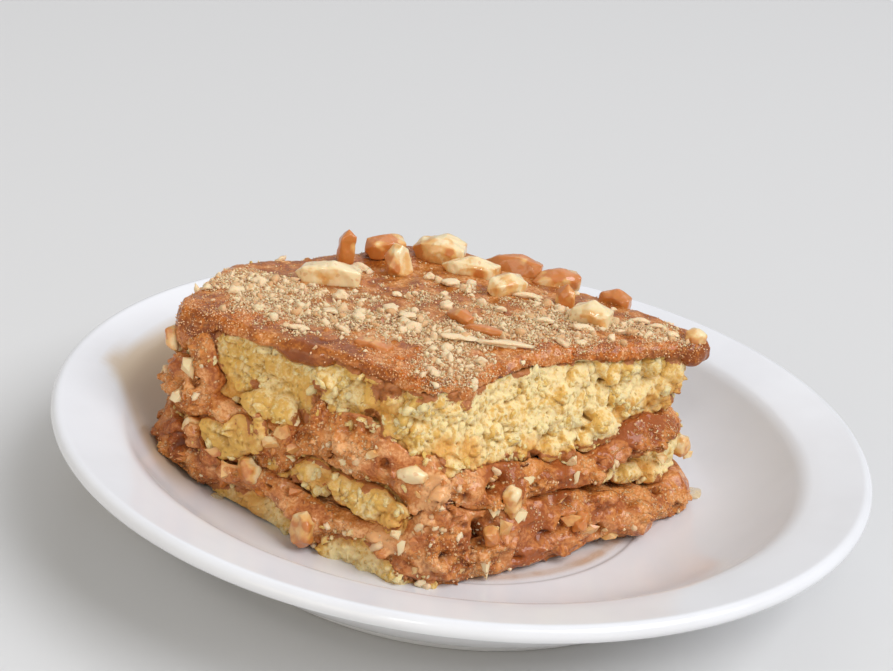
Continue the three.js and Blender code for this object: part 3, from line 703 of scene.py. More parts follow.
# Painted red-brown shade in the custard's hollows.
CUSTARD_HOLLOW_SHADE = (0.13, 0.028, 0.006, 1)
CUSTARD_SPECK = (0.84, 0.55, 0.28, 1)
# Dry crumbs that have stuck to the custard.
CRUMB_PALE = (0.86, 0.67, 0.42, 1)
CRUMB_TOASTED = (0.64, 0.33, 0.12, 1)
# How deep the sponges' bulges press the custard in, and how far past their own width, in millimetres.
PUSH_DEPTH = 2.6
PUSH_REACH = 2.5
# Bulges are where the custard runs down or out in a lump. Shades are darker places, or paler ones below 0:
# partly painted shade in pockets and painted light under overhangs, partly the custard's own colour.
FILLINGS = [
    {"node": "custard_lower", "lumps": 150, "seed": 21,
     "beside": ["sponge_bottom", "sponge_middle", "plate"],
     "bulges": [((42.6, -16.6, 11.6), (5.0, 3.4, 4.6), RIGHT),
                ((32.6, -20.8, 17.4), (5.0, 2.4, 3.0), RIGHT),
                ((3.4, -44.9, 14.5), (2.0, 2.0, 6.0), RIGHT),
                ((17.6, -34.6, 10.0), (7.0, 2.6, 3.0), RIGHT),
                ((25.0, -29.6, 10.5), (5.0, 2.2, 2.8), RIGHT),
                ((-60.0, -22.4, 22.0), (3.6, 2.6, 3.4), LEFT),
                ((-50.4, -28.9, 18.0), (3.8, 2.6, 3.2), LEFT),
                ((-56.0, -25.4, 19.6), (3.4, 2.4, 3.0), LEFT),
                ((-32.0, -37.6, 15.5), (5.0, 2.2, 3.0), LEFT),
                ((-64.5, -19.5, 20.5), (2.8, 2.4, 4.0), LEFT)],
     "dents": [((5.3, -42.9, 17.9), 2.0, 5.0), ((9.0, -41.2, 20.4), 1.7, 4.0),
               ((21.7, -28.1, 21.1), 2.4, 3.6), ((25.3, -26.9, 19.7), 1.5, 2.6),
               ((-36.2, -35.6, 19.4), 1.5, 2.6), ((-28.3, -37.8, 19.6), 1.6, 2.4),
               ((-1.0, -49.2, 14.0), 1.5, 2.4), ((47.1, -7.5, 15.5), 1.3, 2.6),
               ((20.5, -34.5, 14.0), 1.6, 1.6), ((36.5, -20.5, 13.0), 1.4, 2.0),
               ((8.4, -41.0, 22.6), 1.2, 2.4)],
     "shades": [((43, -17.5, 11.2), 5, -0.1), ((17.5, -34.5, 11), 8, 0.55), ((30, -25, 17), 7, 0.4),
                ((5.3, -42.7, 17.7), 3.4, 1.4), ((22.9, -27.8, 20.7), 3.4, 1.1),
                ((-60, -25, 14.8), 5, -0.45), ((4, -45.2, 14.8), 3, -0.3), ((-3.8, -50.4, 10.8), 4, -0.4),
                ((-17.5, -45.4, 16.9), 6, -1.3), ((-5.3, -47, 22.6), 3, 0.4), ((20, -34, 13), 5, 0.3),
                ((-31, -37, 14), 6, -0.4), ((-45, -33, 17), 6, -0.4), ((-64, -20, 19), 4, 0.7)]},
    {"node": "custard_upper", "lumps": 120, "seed": 22,
     "beside": ["sponge_middle", "sponge_top", "custard_lower"],
     "bulges": [((-59.2, -20.6, 41.5), (3.6, 2.2, 5.6), LEFT),
                ((-58.0, -20.8, 36.0), (4.2, 2.4, 4.6), LEFT),
                ((-4.2, -45.6, 26.0), (3.2, 2.4, 7.0), LEFT),
                ((-6.0, -47.4, 20.6), (2.4, 2.0, 3.2), LEFT),
                ((-0.6, -46.2, 21.0), (1.8, 1.8, 4.0), LEFT),
                ((-31.2, -34.3, 35.4), (1.9, 2.4, 5.2), LEFT),
                ((-38.5, -32.4, 31.0), (3.4, 2.2, 3.4), LEFT),
                ((-24.0, -38.4, 32.0), (5.0, 2.2, 4.0), LEFT),
                ((40.0, -11.0, 27.5), (6.0, 2.4, 3.0), RIGHT),
                ((18.5, -28.6, 24.5), (3.4, 2.0, 3.0), RIGHT)],
     "dents": [((7.8, -37.9, 26.3), 1.5, 4.2), ((9.4, -35.8, 27.6), 1.4, 3.8),
               ((-24.7, -39.6, 37.9), 1.8, 2.6), ((-20.4, -40.6, 38.3), 1.6, 2.4),
               ((27.7, -17.2, 29.0), 1.7, 2.6), ((-41.3, -32.1, 22.1), 1.8, 2.6),
               ((-60.9, -22.3, 35.2), 1.3, 2.6), ((42.2, -9.0, 23.0), 1.1, 2.0),
               ((31.5, -19.5, 25.3), 1.3, 2.0)],
     "shades": [((-4.9, -46.4, 28.7), 5, -1.5), ((40.1, -10.1, 31.5), 9, 0.9),
                ((22.3, -26, 25.2), 5, 0.7), ((8.7, -35.8, 27.4), 3.6, 1.7),
                ((-54.3, -24.2, 32.6), 5, -0.4), ((-27, -39.2, 30.5), 6, -1.1)]},
]


def pushed(points):
    """How deep the sponges' bulges press the custard in at points, in millimetres."""
    deepest = np.zeros(len(points))
    for layer in SPONGES:
        for place, halves, turn in layer["bulges"]:
            away = points / MM - place
            along = away @ (math.cos(turn), math.sin(turn), 0)
            across = away @ (-math.sin(turn), math.cos(turn), 0)
            far = (along / halves[0]) ** 2 + (across / (halves[1] + PUSH_REACH)) ** 2
            far = far + (away[:, 2] / halves[2]) ** 2
            deepest = np.maximum(deepest, PUSH_DEPTH * np.exp(-far))
    return deepest


def oozed(points, seed):
    """How far oozed custard stands out at points, in millimetres: soft swells, lumps and pits. The second
    result is how grainy it is, where sugar and crumbs have mixed into it."""
    ragged = bent(points, 3.2 * MM, 1.1 * MM, seed)
    near, _, number = cells(ragged, 4.6 * MM, seed)
    small_near, _, small_number = cells(ragged, 2.1 * MM, seed + 1)
    grain_near, _, grain_number = cells(points, 0.95 * MM, seed + 2)
    grainy = eased(clouds(points, 7.5 * MM, seed + 3, 2), -0.15, 0.3)
    height = 1.1 * clouds(points, 7.5 * MM, seed + 4, 2) - 0.4
    height += 1.5 * (number > 0.5) * eased(0.7 - near, 0, 0.6)
    height -= 2.2 * (number < 0.16) * eased(0.6 - near, 0, 0.4)
    height += (0.3 + 0.6 * grainy) * (small_number > 0.45) * eased(0.65 - small_near, 0, 0.5)
    height += 0.55 * grainy * (grain_number > 0.3) * eased(0.6 - grain_near, 0, 0.5)
    return height, grainy


def custard_finish(name, smooth, orange, deep, speck):
    """Moist caramel custard: smooth, paler and darker patches, partly painted light and shade, painted
    red-brown shade in hollows, orange where it is grainy with pale specks, pale meal where crumbs have
    stuck to it, and a wet coat."""
    material, tree, shader = new_finish(
        name, Subsurface_Weight=0.12, Subsurface_Scale=2 * MM, Coat_Roughness=0.08, Specular_IOR_Level=0.12)
    shader.inputs["Subsurface Radius"].default_value = (1.0, 0.45, 0.2)
    grainy = stored(tree, "grainy")
    meal = stored(tree, "meal")
    parts = grain(tree, 5 * MM, 0.7 * MM, 0.7 * MM, ramped(tree, grainy, 0.0, 1.0, 0.03, 0.3))
    crumbs = grain(tree, 3 * MM, 0.35 * MM, 0.42 * MM, ramped(tree, meal, 0.0, 1.0, 0.0, 0.9))
    hollow_shade = stored(tree, "hollow_shade")
    colour = mixed(tree, calculated(tree, "MULTIPLY", crumbs["Patch"], 0.5), smooth, CUSTARD_AMBER)
    colour = mixed(tree, calculated(tree, "MULTIPLY", grainy, 0.85), colour, orange)
    patches = ramped(tree, parts["Patch"], 0.0, 1.0, -0.4, 0.7)
    shade = calculated(tree, "ADD", patches, stored(tree, "shade"))
    shade = calculated(tree, "ADD", shade, ramped(tree, parts["Grain"], 0.3, 0.7, 0.45, -0.45))
    colour = mixed(tree, ramped(tree, shade, 0.0, 1.0), colour, deep)
    colour = mixed(tree, ramped(tree, shade, 0.0, -1.0), colour, CUSTARD_CREAM)
    # Painted shade in the hollows.
    colour = mixed(tree, ramped(tree, hollow_shade, 0.0, 0.8), colour, CUSTARD_HOLLOW_SHADE)
    colour = mixed(tree, calculated(tree, "MULTIPLY", parts["Speck"], 0.7), colour, speck)
    crumb_colour = mixed(tree, crumbs["Tone"], CRUMB_PALE, CRUMB_TOASTED)
    colour = mixed(tree, calculated(tree, "MULTIPLY", crumbs["Speck"], 0.9), colour, crumb_colour)
    tree.links.new(colour, shader.inputs["Base Color"])
    dry = calculated(tree, "MAXIMUM", crumbs["Speck"], calculated(tree, "MULTIPLY", grainy, 0.3))
    tree.links.new(ramped(tree, dry, 0.0, 1.0, 0.3, 0.7), shader.inputs["Roughness"])
    tree.links.new(ramped(tree, dry, 0.0, 0.8, 0.5, 0.0), shader.inputs["Coat Weight"])
    fine = calculated(tree, "MULTIPLY", parts["Grain"], ramped(tree, grainy, 0.0, 1.0, 0.8, 1.2))
    height = calculated(tree, "ADD", fine, calculated(tree, "ADD", parts["Speck"], crumbs["Speck"]))
    bumped(tree, shader, height, 0.34 * MM, 0.9)
    return material


CUSTARD_FINISH = custard_finish(
    "caramel_custard", CUSTARD_SMOOTH, CUSTARD_ORANGE, CUSTARD_DEEP, CUSTARD_SPECK)
fillings = []
for layer in FILLINGS:
    random = np.random.default_rng(layer["seed"])
    filling = cast(layer, layer["node"] + "_spread", (1.6, 5), random, 3)
    points = read(filling.data.vertices, "co")
    standing = on_walls(points, read(filling.data.vertices, "normal"))
    heights, grainy = oozed(points, layer["seed"])
    heights = heights * np.maximum(standing, 0.25) - pushed(points)
    shifted(filling, (heights - spotted(points, layer["dents"])) * MM)
    note_hollow_shade(filling, 0.9 * MM)
    points = read(filling.data.vertices, "co")
    # Spots painted darker or paler: partly shade in pockets and light under overhangs, partly own colour.
    shade = spotted(points, layer["shades"])
    marked(filling, "shade", shade)
    marked(filling, "grainy", grainy)
    marked(filling, "meal", 0.35 * eased(clouds(points, 4 * MM, layer["seed"] + 8, 2), 0.1, 0.6))
    kept(filling, CUSTARD_FINISH, "custard", layer["node"])
    fillings.append(filling)


# Topping
# The same custard with more caramel, spread over the top sponge and set with a smooth skin. It hangs
# over the edges in drips, and crumbs and sugar lie on it.

GLAZE_SMOOTH = (0.44, 0.14, 0.026, 1)
GLAZE_ORANGE = (0.57, 0.14, 0.009, 1)
GLAZE_DEEP = (0.27, 0.068, 0.010, 1)
GLAZE_SPECK = (0.74, 0.35, 0.11, 1)
# Drips over the edges: middle, half widths and turn seen from above, in millimetres and radians.
DRIPS = [
    ((-36.0, -30.0, 49.2), (8.0, 2.8, 2.8), -0.35),
    ((-20.5, -35.2, 48.6), (4.6, 2.4, 2.8), -0.5),
    ((-58.5, -18.2, 45.5), (4.2, 3.0, 4.6), -0.3),
    ((-53.0, -20.0, 48.0), (4.0, 2.2, 2.6), -0.2),
    ((-12.0, -39.2, 48.8), (4.0, 2.4, 2.2), -0.2),
    ((-1.2, -36.6, 47.6), (2.2, 2.0, 3.0), 0.6),
    ((50.6, -0.6, 47.4), (3.4, 2.2, 2.8), 0.5),
]
# The back left-hand part has sunk: its middle and half widths seen from above, in millimetres, and depth.
SUNK = [((-50, 22), (24, 22), 2.3)]
# Drips of smooth dark caramel: middle and radius in millimetres.
DEEP_DRIPS = [((-34.6, -31.4, 49.5), 7.6), ((-31, -33, 49), 5), ((50.8, -1.6, 47.5), 4.0),
              ((-58.5, -18.5, 47), 6.0)]
# Where crumbs lie and where the topping is grainy with sugar: middle and half widths seen from above in
# millimetres, and thickness.
DRIFTS = [
    ((-24, -14), (22, 9), 1.0), ((-46, -8), (11, 9), 0.8), ((-50, 6), (12, 7), 0.6),
    ((-5, -30), (7, 11), 0.9), ((9, -9), (13, 11), 0.9), ((30, 2), (13, 6), 0.6),
    ((-34, 2), (12, 6), 0.45), ((16, 8), (10, 8), 0.5), ((42, 0), (9, 6), 0.8), ((-5, -35), (7, 4.5), 0.9),
    ((28, -10), (9, 3.5), 0.55), ((-56, 4), (9, 9), 0.7), ((-7, 6), (9, 7), 0.5),
    ((-14, -15), (9, 5), 0.4),
]
GRAINY = [((-56, -19), (11, 7), 1.0), ((-13, -38), (9, 8), 1.0), ((6, -33), (10, 7), 1.0),
          ((25, -17), (14, 7), 1.0), ((42, -5), (10, 7), 1.0), ((-18, -30), (9, 5), 0.6)]
MEAL_CLUMPS = 3.2 * MM


def heaped(points, heaps):
    """How much lies at points, seen from above."""
    total = np.zeros(len(points))
    for (x, y), (across, along), thickness in heaps:
        away = ((points[:, 0] / MM - x) / across) ** 2 + ((points[:, 1] / MM - y) / along) ** 2
        total += thickness * np.exp(-away)
    return total


def meal_on(points):
    """How thickly crumbs lie at points, from 0 to 1, in ragged patches."""
    heap = np.minimum(heaped(points, DRIFTS), 1)
    return eased(heap + 0.4 * clouds(points, MEAL_CLUMPS, 35, 2), 0.2, 0.8)


topping = merged_copy("topping", "topping_glaze")
for place, halves, turn in DRIPS:
    joined(topping, blob("drip", place, halves, turn))
finished(topping, "REMESH", mode="VOXEL", voxel_size=CAKE_VOXEL)
finished(topping, "SMOOTH", factor=0.5, iterations=10)
lower = np.flatnonzero(read(topping.data.vertices, "normal")[:, 2] < -0.7)
thinned(topping, lower)
points = read(topping.data.vertices, "co")
points[:, 2] -= heaped(points, SUNK) * MM * np.clip((points[:, 2] / MM - 47.6) / 3.4, 0, 1)
topping.data.vertices.foreach_set("co", points.ravel())
topping.data.update()
upward = np.clip(read(topping.data.vertices, "normal")[:, 2] * 2, 0, 1)
grainy = np.minimum(heaped(points, GRAINY), 1) * eased(clouds(points, 4 * MM, 44, 2), -0.6, 0.1)
meal = meal_on(points) * upward
grain_near, _, grain_number = cells(points, 0.85 * MM, 24)
heights = 0.5 * clouds(points, 8 * MM, 25, 2) + 0.22 * clouds(points, 2.4 * MM, 26, 2)
heights += (0.45 * grainy + 0.25 * meal) * (grain_number > 0.25) * eased(0.6 - grain_near, 0, 0.5)
shifted(topping, heights * MM)
deep = spots(points, DEEP_DRIPS)
# Painted shade in the topping's hollows, darker still on the dark caramel drips.
note_hollow_shade(topping, 0.7 * MM, 0.3 * deep)
marked(topping, "shade", deep)
marked(topping, "grainy", grainy * (1 - deep))
marked(topping, "meal", meal)
GLAZE_FINISH = custard_finish("caramel_topping", GLAZE_SMOOTH, GLAZE_ORANGE, GLAZE_DEEP, GLAZE_SPECK)
kept(topping, GLAZE_FINISH, "topping", "topping")


# Nuts
# Toasted nuts, chopped into wedges, slabs and splinters: cream flesh with flat breaks, brown where
# the skin or the caramel is. They were strewn on the top and stirred into the fillings.

NUT_VOXEL = 0.28 * MM
# How large each nut is made against its solid, on the top and in the sides.
NUT_GROWTH = 1.1
SIDE_GROWTH = 0.95
NUT_CREAM = (0.84, 0.67, 0.38, 1)
NUT_TAN = (0.76, 0.43, 0.14, 1)
NUT_BROWN = (0.57, 0.19, 0.035, 1)
# How toasted each nut is, the way that its toasted side looks, and how far it lies from its place in
# millimetres.
NUTS = {
    "nut_cream_left": (0.10, (0.1, -0.5, -0.9), (1.0, 0, -1.6)),
    "nut_upright_left": (0.95, (-0.6, -0.3, 0), (0, 0, -1.1)),
    "nut_brown_back": (0.95, (-0.5, -0.6, -0.3), (0, -0.6, -0.5)),
    "nut_wedge": (0.50, (-0.9, -0.2, 0), (0, -0.4, -1.2)),
    "nut_big_back": (0.40, (-0.9, -0.5, -0.5), (0, 0, -0.5)),
    "nut_cream_middle": (0.35, (0, -0.5, -0.9), (-1.0, 0, -0.7)),
    "nut_brown_right": (0.95, (-0.5, -0.5, 0.2), (-0.6, 0, -0.6)),
    "nut_pale_right": (0.35, (-0.9, -0.1, -0.3), (-1.6, -0.8, -0.6)),
    "nut_curl": (0.65, (0, -0.2, 0.9), (-1.0, -0.5, -1.2)),
    "nut_leg": (0.80, (-0.3, -0.3, 0), (-1.8, -1.2, -1.2)),
    "nut_block": (0.00, (0, -0.6, -0.9), (-1.0, -0.8, -0.8)),
    "nut_far_right": (1.20, (0, 0, -0.5), (0, 0, -1.2)),
    "nut_splinter_upright": (0.90, (0, -0.4, 0), (0, -0.8, -1.0)),
    "nut_splinter_flat": (0.80, (0, 0, 0.3), (-1.2, -1.8, -1.0)),
    "nut_front_left": (0.85, (0, -0.3, 0), (0.6, -1.0, -1.4)),
    "nut_tip": (0.50, (0, -0.3, -0.9), (0, 0, -0.5)),
    "nut_side_left_end": (0.45, (-0.5, 0, -0.6), (0, 0, 0)),
    "nut_side_left_low": (0.45, (0.2, 0.2, 0.8), (0, 0, 0)),
    "nut_side_left_middle": (0.60, (-0.4, -0.3, -0.5), (0, 0, 0)),
    "nut_side_cream": (0.70, (0, -0.2, -0.8), (0, 0, 0)),
    "nut_side_flake": (0.25, (0, 0, -0.8), (0, 0.8, 0)),
    "nut_side_front_high": (0.45, (0, 0, -0.8), (0, 0, 0)),
    "nut_side_front_low": (0.75, (0.3, -0.2, -0.5), (0, 0, 0)),
    "nut_side_right_low": (0.85, (0, -0.3, 0.4), (0, 0.8, 0)),
    "nut_side_right_end": (0.40, (0, 0, -0.5), (-0.8, 0, 0)),
}


def nut_finish():
    """Toasted nut flesh that turns brown where the attribute toast is high, under a thin caramel coat."""
    material, tree, shader = new_finish(
        "toasted_nut", Subsurface_Weight=0.15, Subsurface_Scale=1.5 * MM,
        Coat_Weight=0.7, Coat_Roughness=0.1)
    parts = grain(tree, 3 * MM, 0.9 * MM, 1.1 * MM, 0.08)
    patches = ramped(tree, parts["Patch"], 0.0, 1.0, -0.15, 0.15)
    uneven = calculated(tree, "ADD", stored(tree, "toast"), patches)
    colour = mixed(tree, ramped(tree, uneven, 0.15, 0.55), NUT_CREAM, NUT_TAN)
    colour = mixed(tree, ramped(tree, uneven, 0.5, 0.95), colour, NUT_BROWN)
    colour = mixed(tree, calculated(tree, "MULTIPLY", parts["Speck"], 0.4), colour, NUT_BROWN)
    tree.links.new(colour, shader.inputs["Base Color"])
    tree.links.new(ramped(tree, parts["Grain"], 0.3, 0.7, 0.3, 0.48), shader.inputs["Roughness"])
    bumped(tree, shader, parts["Grain"], 0.12 * MM, 0.5)
    return material


NUT_FINISH = nut_finish()
for number, (node, (toasted, way, move)) in enumerate(NUTS.items()):
    nut = merged_copy(node, node + "_toasted")
    low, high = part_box(node)
    middle = (low + high) / 2
    place = Matrix.Translation(middle + Vector(move) * MM)
    growth = SIDE_GROWTH if "side" in node else NUT_GROWTH
    nut.data.transform(place @ Matrix.Scale(growth, 4) @ Matrix.Translation(-middle))
    finished(nut, "REMESH", mode="VOXEL", voxel_size=NUT_VOXEL)
    points = read(nut.data.vertices, "co")
    normals = read(nut.data.vertices, "normal")
    rough = 1.8 if "side" in node else 1.0
    swells = 0.3 * clouds(points, 3.2 * MM, 60 + number) + 0.1 * clouds(points, 1.1 * MM, 90)
    shifted(nut, (0.1 + rough * swells) * MM)
    toast = toasted + 0.4 * (normals @ np.array(way)) + 0.45 * clouds(points, 2.6 * MM, 91 + number, 2)
    marked(nut, "toast", toast)
    kept(nut, NUT_FINISH, "nut", node)


# Nut chips
# Smaller bits of the same nuts, which stick out of the oozing custard, some of them coated with it.

CHIPS = [lump(1, seed, 0.42) for seed in (71, 72, 73, 74, 75, 76)]
# Chips that show plainly: place and the three widths in millimetres, and how toasted.
PLACED_CHIPS = [
    ((8.4, -39.6, 21.9), (3.4, 2.4, 4.0), 0.15), ((14.1, -36.7, 19.6), (4.0, 2.6, 3.6), 0.10),
    ((11.1, -40.2, 17.9), (2.8, 2.4, 5.4), 0.55), ((15.5, -31.6, 25.8), (2.6, 2.0, 2.8), 0.10),
    ((25.8, -29.0, 15.6), (4.4, 3.0, 4.6), 0.80), ((30.9, -25.7, 12.4), (3.8, 3.0, 3.6), 0.60),
    ((36.0, -21.2, 9.4), (4.4, 3.0, 3.2), 0.45), ((26.3, -24.0, 24.0), (1.2, 1.2, 5.0), 0.05),
    ((24.8, -22.2, 27.1), (2.4, 1.8, 3.8), 0.00), ((18.6, -23.3, 27.6), (3.4, 2.2, 2.6), 0.05),
    ((-10.7, -49.8, 15.9), (1.6, 1.3, 5.4), 0.00), ((-11.6, -48.9, 18.4), (2.6, 1.6, 2.2), 0.05),
    ((-50.4, -29.9, 18.2), (5.8, 4.2, 5.2), 0.70), ((-38.5, -33.6, 31.6), (4.4, 3.2, 4.4), 0.60),
    ((-41.6, -33.2, 28.4), (4.4, 3.2, 3.8), 0.45), ((-36.6, -34.8, 28.4), (3.2, 2.6, 3.2), 0.75),
    ((-62.0, -21.4, 38.5), (3.8, 2.8, 5.0), 0.15), ((-64.3, -21.2, 31.0), (3.4, 2.6, 4.0), 0.30),
    ((-60.2, -23.0, 24.2), (3.0, 2.6, 3.0), 0.65), ((-55.0, -26.6, 20.8), (4.4, 3.2, 4.0), 0.75),
    ((-35.2, -36.6, 18.8), (2.8, 2.2, 2.4), 0.95), ((-8.4, -44.6, 30.0), (2.4, 2.0, 2.4), 0.10),
    ((47.5, -6.4, 22.5), (2.6, 2.2, 2.6), 0.40), ((54.4, 2.6, 20.0), (2.6, 2.2, 3.4), 0.25),
    ((8.2, -43.4, 10.6), (3.2, 2.4, 6.4), 0.05), ((2.6, -46.8, 11.0), (2.6, 2.2, 2.6), 0.60),
    ((35.0, -17.2, 24.6), (1.8, 1.6, 2.4), 0.10), ((-25.0, -40.6, 29.6), (2.0, 1.6, 2.6), 0.20),
]


def in_clumps(size, seed, low=-0.1, high=0.5):
    """Weight of the faces that stand, gathered in clumps about size wide."""
    def weight(centres, normals):
        return on_walls(centres, normals) * (0.04 + eased(clouds(centres, size, seed, 2), low, high))
    return weight


def outward(points):
    """The way out of the slice at points, seen from above."""
    ways = points * (1, 1, 0) - np.array((-13, 1, 0)) * MM
    return ways / np.linalg.norm(ways, axis=1, keepdims=True)


CHIPS_PER_FILLING = 55
# Edges sharper than this stay sharp, in degrees.
CHIP_EDGE = 38

random = np.random.default_rng(70)
places, ways = [], []
for filling in fillings:
    found = places_on(filling, CHIPS_PER_FILLING, random, in_clumps(7 * MM, 77))
    places.append(found[0])
    ways.append(found[1])
count = CHIPS_PER_FILLING * len(fillings)
widths = (1.1 + 2.4 * random.random(count) ** 1.6) * MM
chips = strewn("nut_chips", CHIPS, np.concatenate(places), np.concatenate(ways), widths, random,
               sunk=0.6, note="toast", tints=random.uniform(0.2, 1.1, count))
kept(chips, NUT_FINISH, "nut", angle=CHIP_EDGE)

places = np.array([place for place, _, _ in PLACED_CHIPS]) * MM
sides = np.array([widths for _, widths, _ in PLACED_CHIPS]) * MM
toasts = [toast for _, _, toast in PLACED_CHIPS]
large = strewn("nut_chips_large", CHIPS, places, outward(places), sides, random, sunk=0.6, note="toast",
               turning=False, tints=toasts)
kept(large, NUT_FINISH, "nut", angle=CHIP_EDGE)


# Crumbs
# Crumbs of dry sponge rubbed over the top, fine as meal with some clusters. They lie in drifts behind
# the front edges, and some stick to the oozing custard.

GRAINS = [lump(1, seed, 0.32) for seed in (5, 6, 7, 8)]


def flake(seed, subdivisions):
    """A crumbly flake of radius about 1: a lump with swells and hollows in two sizes."""
    points, faces = lump(subdivisions, seed, 0.1)
    swells = 1 + 0.6 * clouds(points, 1.0, seed) + 0.3 * clouds(points, 0.5, seed + 1)
    return points * swells[:, None], faces


FLAKES = [flake(seed, 2) for seed in (51, 52, 53, 54, 55, 56)]
LARGE_FLAKES = [flake(seed, 3) for seed in (51, 52, 53, 54, 55, 56)]
# The larger flakes on the top: place and widths seen from above, in millimetres, and height.
PLACED_FLAKES = [
    ((-29.0, 21.0), (4.6, 2.6), 2.0), ((-11.8, 16.5), (2.4, 2.0), 1.6), ((-6.2, 13.6), (4.8, 3.6), 2.2),
    ((-2.4, 11.5), (1.4, 3.6), 2.0), ((-7.0, -0.4), (3.2, 2.6), 2.2), ((-31.1, -2.0), (3.2, 2.6), 2.0),
    ((-19.1, 4.5), (2.2, 1.8), 1.4), ((-15.0, 6.5), (2.0, 1.8), 1.4), ((11.0, 12.0), (7.0, 1.6), 1.4),
    ((-3.8, -19.5), (8.0, 2.6), 1.2), ((7.2, -20.2), (8.6, 2.4), 1.2), ((15.6, -3.0), (3.2, 2.4), 1.6),
    ((24.1, -5.4), (4.6, 2.4), 1.6), ((33.0, -3.4), (3.8, 2.4), 1.6), ((38.3, 6.0), (3.4, 2.2), 1.6),
    ((42.2, 4.0), (3.0, 2.0), 1.4), ((45.5, 0.6), (2.6, 2.0), 1.4), ((-38.4, -23.4), (4.2, 1.8), 1.2),
    ((-54.4, -4.4), (3.4, 2.6), 1.4), ((-50.9, 4.6), (3.6, 2.6), 1.4), ((-19.5, -5.0), (3.8, 2.6), 1.4),
    ((-15.0, -10.4), (4.2, 3.0), 1.4), ((5.2, 1.0), (3.6, 2.6), 1.6), ((-32.9, -12.0), (4.4, 3.0), 1.2),
]


def on_drifts(centres, normals):
    """Weight of the faces that look up and lie in a drift."""
    return (0.015 + meal_on(centres)) * np.clip(normals[:, 2] * 2 - 0.6, 0, 1)


def crumb_finish():
    """Dry crumbs, each of its own shade between pale and toasted."""
    material, tree, shader = new_finish("dry_crumbs", Subsurface_Weight=0.2, Subsurface_Scale=1 * MM)
    parts = grain(tree, 3 * MM, 0.35 * MM, 0.7 * MM, 0.1)
    share = calculated(tree, "MULTIPLY", ramped(tree, stored(tree, "tint"), 0.3, 1.0), 0.75)
    colour = mixed(tree, share, CRUMB_PALE, CRUMB_TOASTED)
    colour = mixed(tree, ramped(tree, parts["Grain"], 0.55, 0.75, 0.0, 0.4), colour, CRUMB_TOASTED)
    tree.links.new(colour, shader.inputs["Base Color"])
    tree.links.new(ramped(tree, parts["Grain"], 0.3, 0.7, 0.6, 0.8), shader.inputs["Roughness"])
    bumped(tree, shader, parts["Grain"], 0.25 * MM, 0.9)
    return material


CRUMB_FINISH = crumb_finish()


def strew_over(name, host, count, sizes, shapes, seed, weight, finish, slot, sunk=0.3):
    """A piece of many small bits strewn over a host piece. sizes are the smallest and the largest width."""
    random = np.random.default_rng(seed)
    places, ways = places_on(host, count, random, weight)
    widths = sizes[0] + (sizes[1] - sizes[0]) * random.random(count) ** 2.2
    kept(strewn(name, shapes, places, ways, widths, random, sunk=sunk), finish, slot)


FINE = (0.2 * MM, 0.55 * MM)
strew_over("crumbs_fine_1", topping, 9500, FINE, GRAINS, 31, on_drifts, CRUMB_FINISH, "topping")
strew_over("crumbs_fine_2", topping, 9500, FINE, GRAINS, 32, on_drifts, CRUMB_FINISH, "topping")
strew_over("crumbs_coarse", topping, 900, (0.5 * MM, 1.1 * MM), GRAINS, 33,
           on_drifts, CRUMB_FINISH, "topping")
strew_over("crumb_flakes", topping, 560, (0.7 * MM, 2.4 * MM), FLAKES, 34,
           on_drifts, CRUMB_FINISH, "topping", sunk=0.45)
for number, filling in enumerate(fillings):
    strew_over(f"crumbs_side_{number + 1}", filling, 110, (0.5 * MM, 2.0 * MM), FLAKES, 36 + number,
               in_clumps(6 * MM, 38), CRUMB_FINISH, "sponge", sunk=0.45)


def beside_sponge(centres, normals):
    """Weight of the standing faces of custard close to the sponges."""
    away = distances(centres, ["sponge_bottom", "sponge_middle", "sponge_top"])
    clumped = 0.1 + eased(clouds(centres, 5 * MM, 47, 2), -0.3, 0.3)
    return on_walls(centres, normals) * clumped * np.exp(-(away / (2 * MM)) ** 2)


# Torn bits of sponge, on the sponges' own faces and along the custard's edges.
TORN_COUNTS = (300, 360, 700)
for number, (sponge, count) in enumerate(zip(sponges, TORN_COUNTS)):
    strew_over(f"torn_bits_{number + 1}", sponge, count, (0.8 * MM, 2.8 * MM), FLAKES, 61 + number,
               in_clumps(6 * MM, 64), SPONGE_FINISH, "sponge", sunk=0.7)
for number, filling in enumerate(fillings):
    strew_over(f"torn_bits_side_{number + 1}", filling, 260, (0.5 * MM, 2.2 * MM), FLAKES, 66 + number,
               beside_sponge, SPONGE_FINISH, "sponge", sunk=0.6)

ABOVE_CAKE = 70
random = np.random.default_rng(39)
surface = BVHTree.FromPolygons([vertex.co for vertex in topping.data.vertices],
                               [face.vertices for face in topping.data.polygons])
starts = [Vector((x, y, ABOVE_CAKE)) * MM for (x, y), _, _ in PLACED_FLAKES]
places = np.array([surface.ray_cast(start, Vector((0, 0, -1)))[0] for start in starts])
sides = np.array([(*widths, height) for _, widths, height in PLACED_FLAKES]) * MM
upright = np.tile((0.0, 0, 1), (len(places), 1))
flakes = strewn("crumb_flakes_large", LARGE_FLAKES, places, upright, sides, random, sunk=0.35,
                turning=False, tints=random.uniform(0, 0.45, len(places)))
kept(flakes, CRUMB_FINISH, "topping")


# Sugar
# Coarse sugar grains that glint on the topping's edges and on the custard in the sides.

SUGAR_PALE = (0.88, 0.56, 0.30, 1)
SUGAR_DEEP = (0.66, 0.27, 0.07, 1)


def sugar_finish():
    """Clear amber sugar grains."""
    material, tree, shader = new_finish("sugar_grains", Coat_Weight=1.0, Coat_Roughness=0.05)
    parts = grain(tree, 3 * MM, 0.4 * MM, 0.9 * MM, 0.1)
    share = ramped(tree, stored(tree, "tint"), 0.0, 0.7)
    tree.links.new(mixed(tree, share, SUGAR_PALE, SUGAR_DEEP), shader.inputs["Base Color"])
    tree.links.new(ramped(tree, parts["Grain"], 0.3, 0.7, 0.08, 0.2), shader.inputs["Roughness"])
    return material


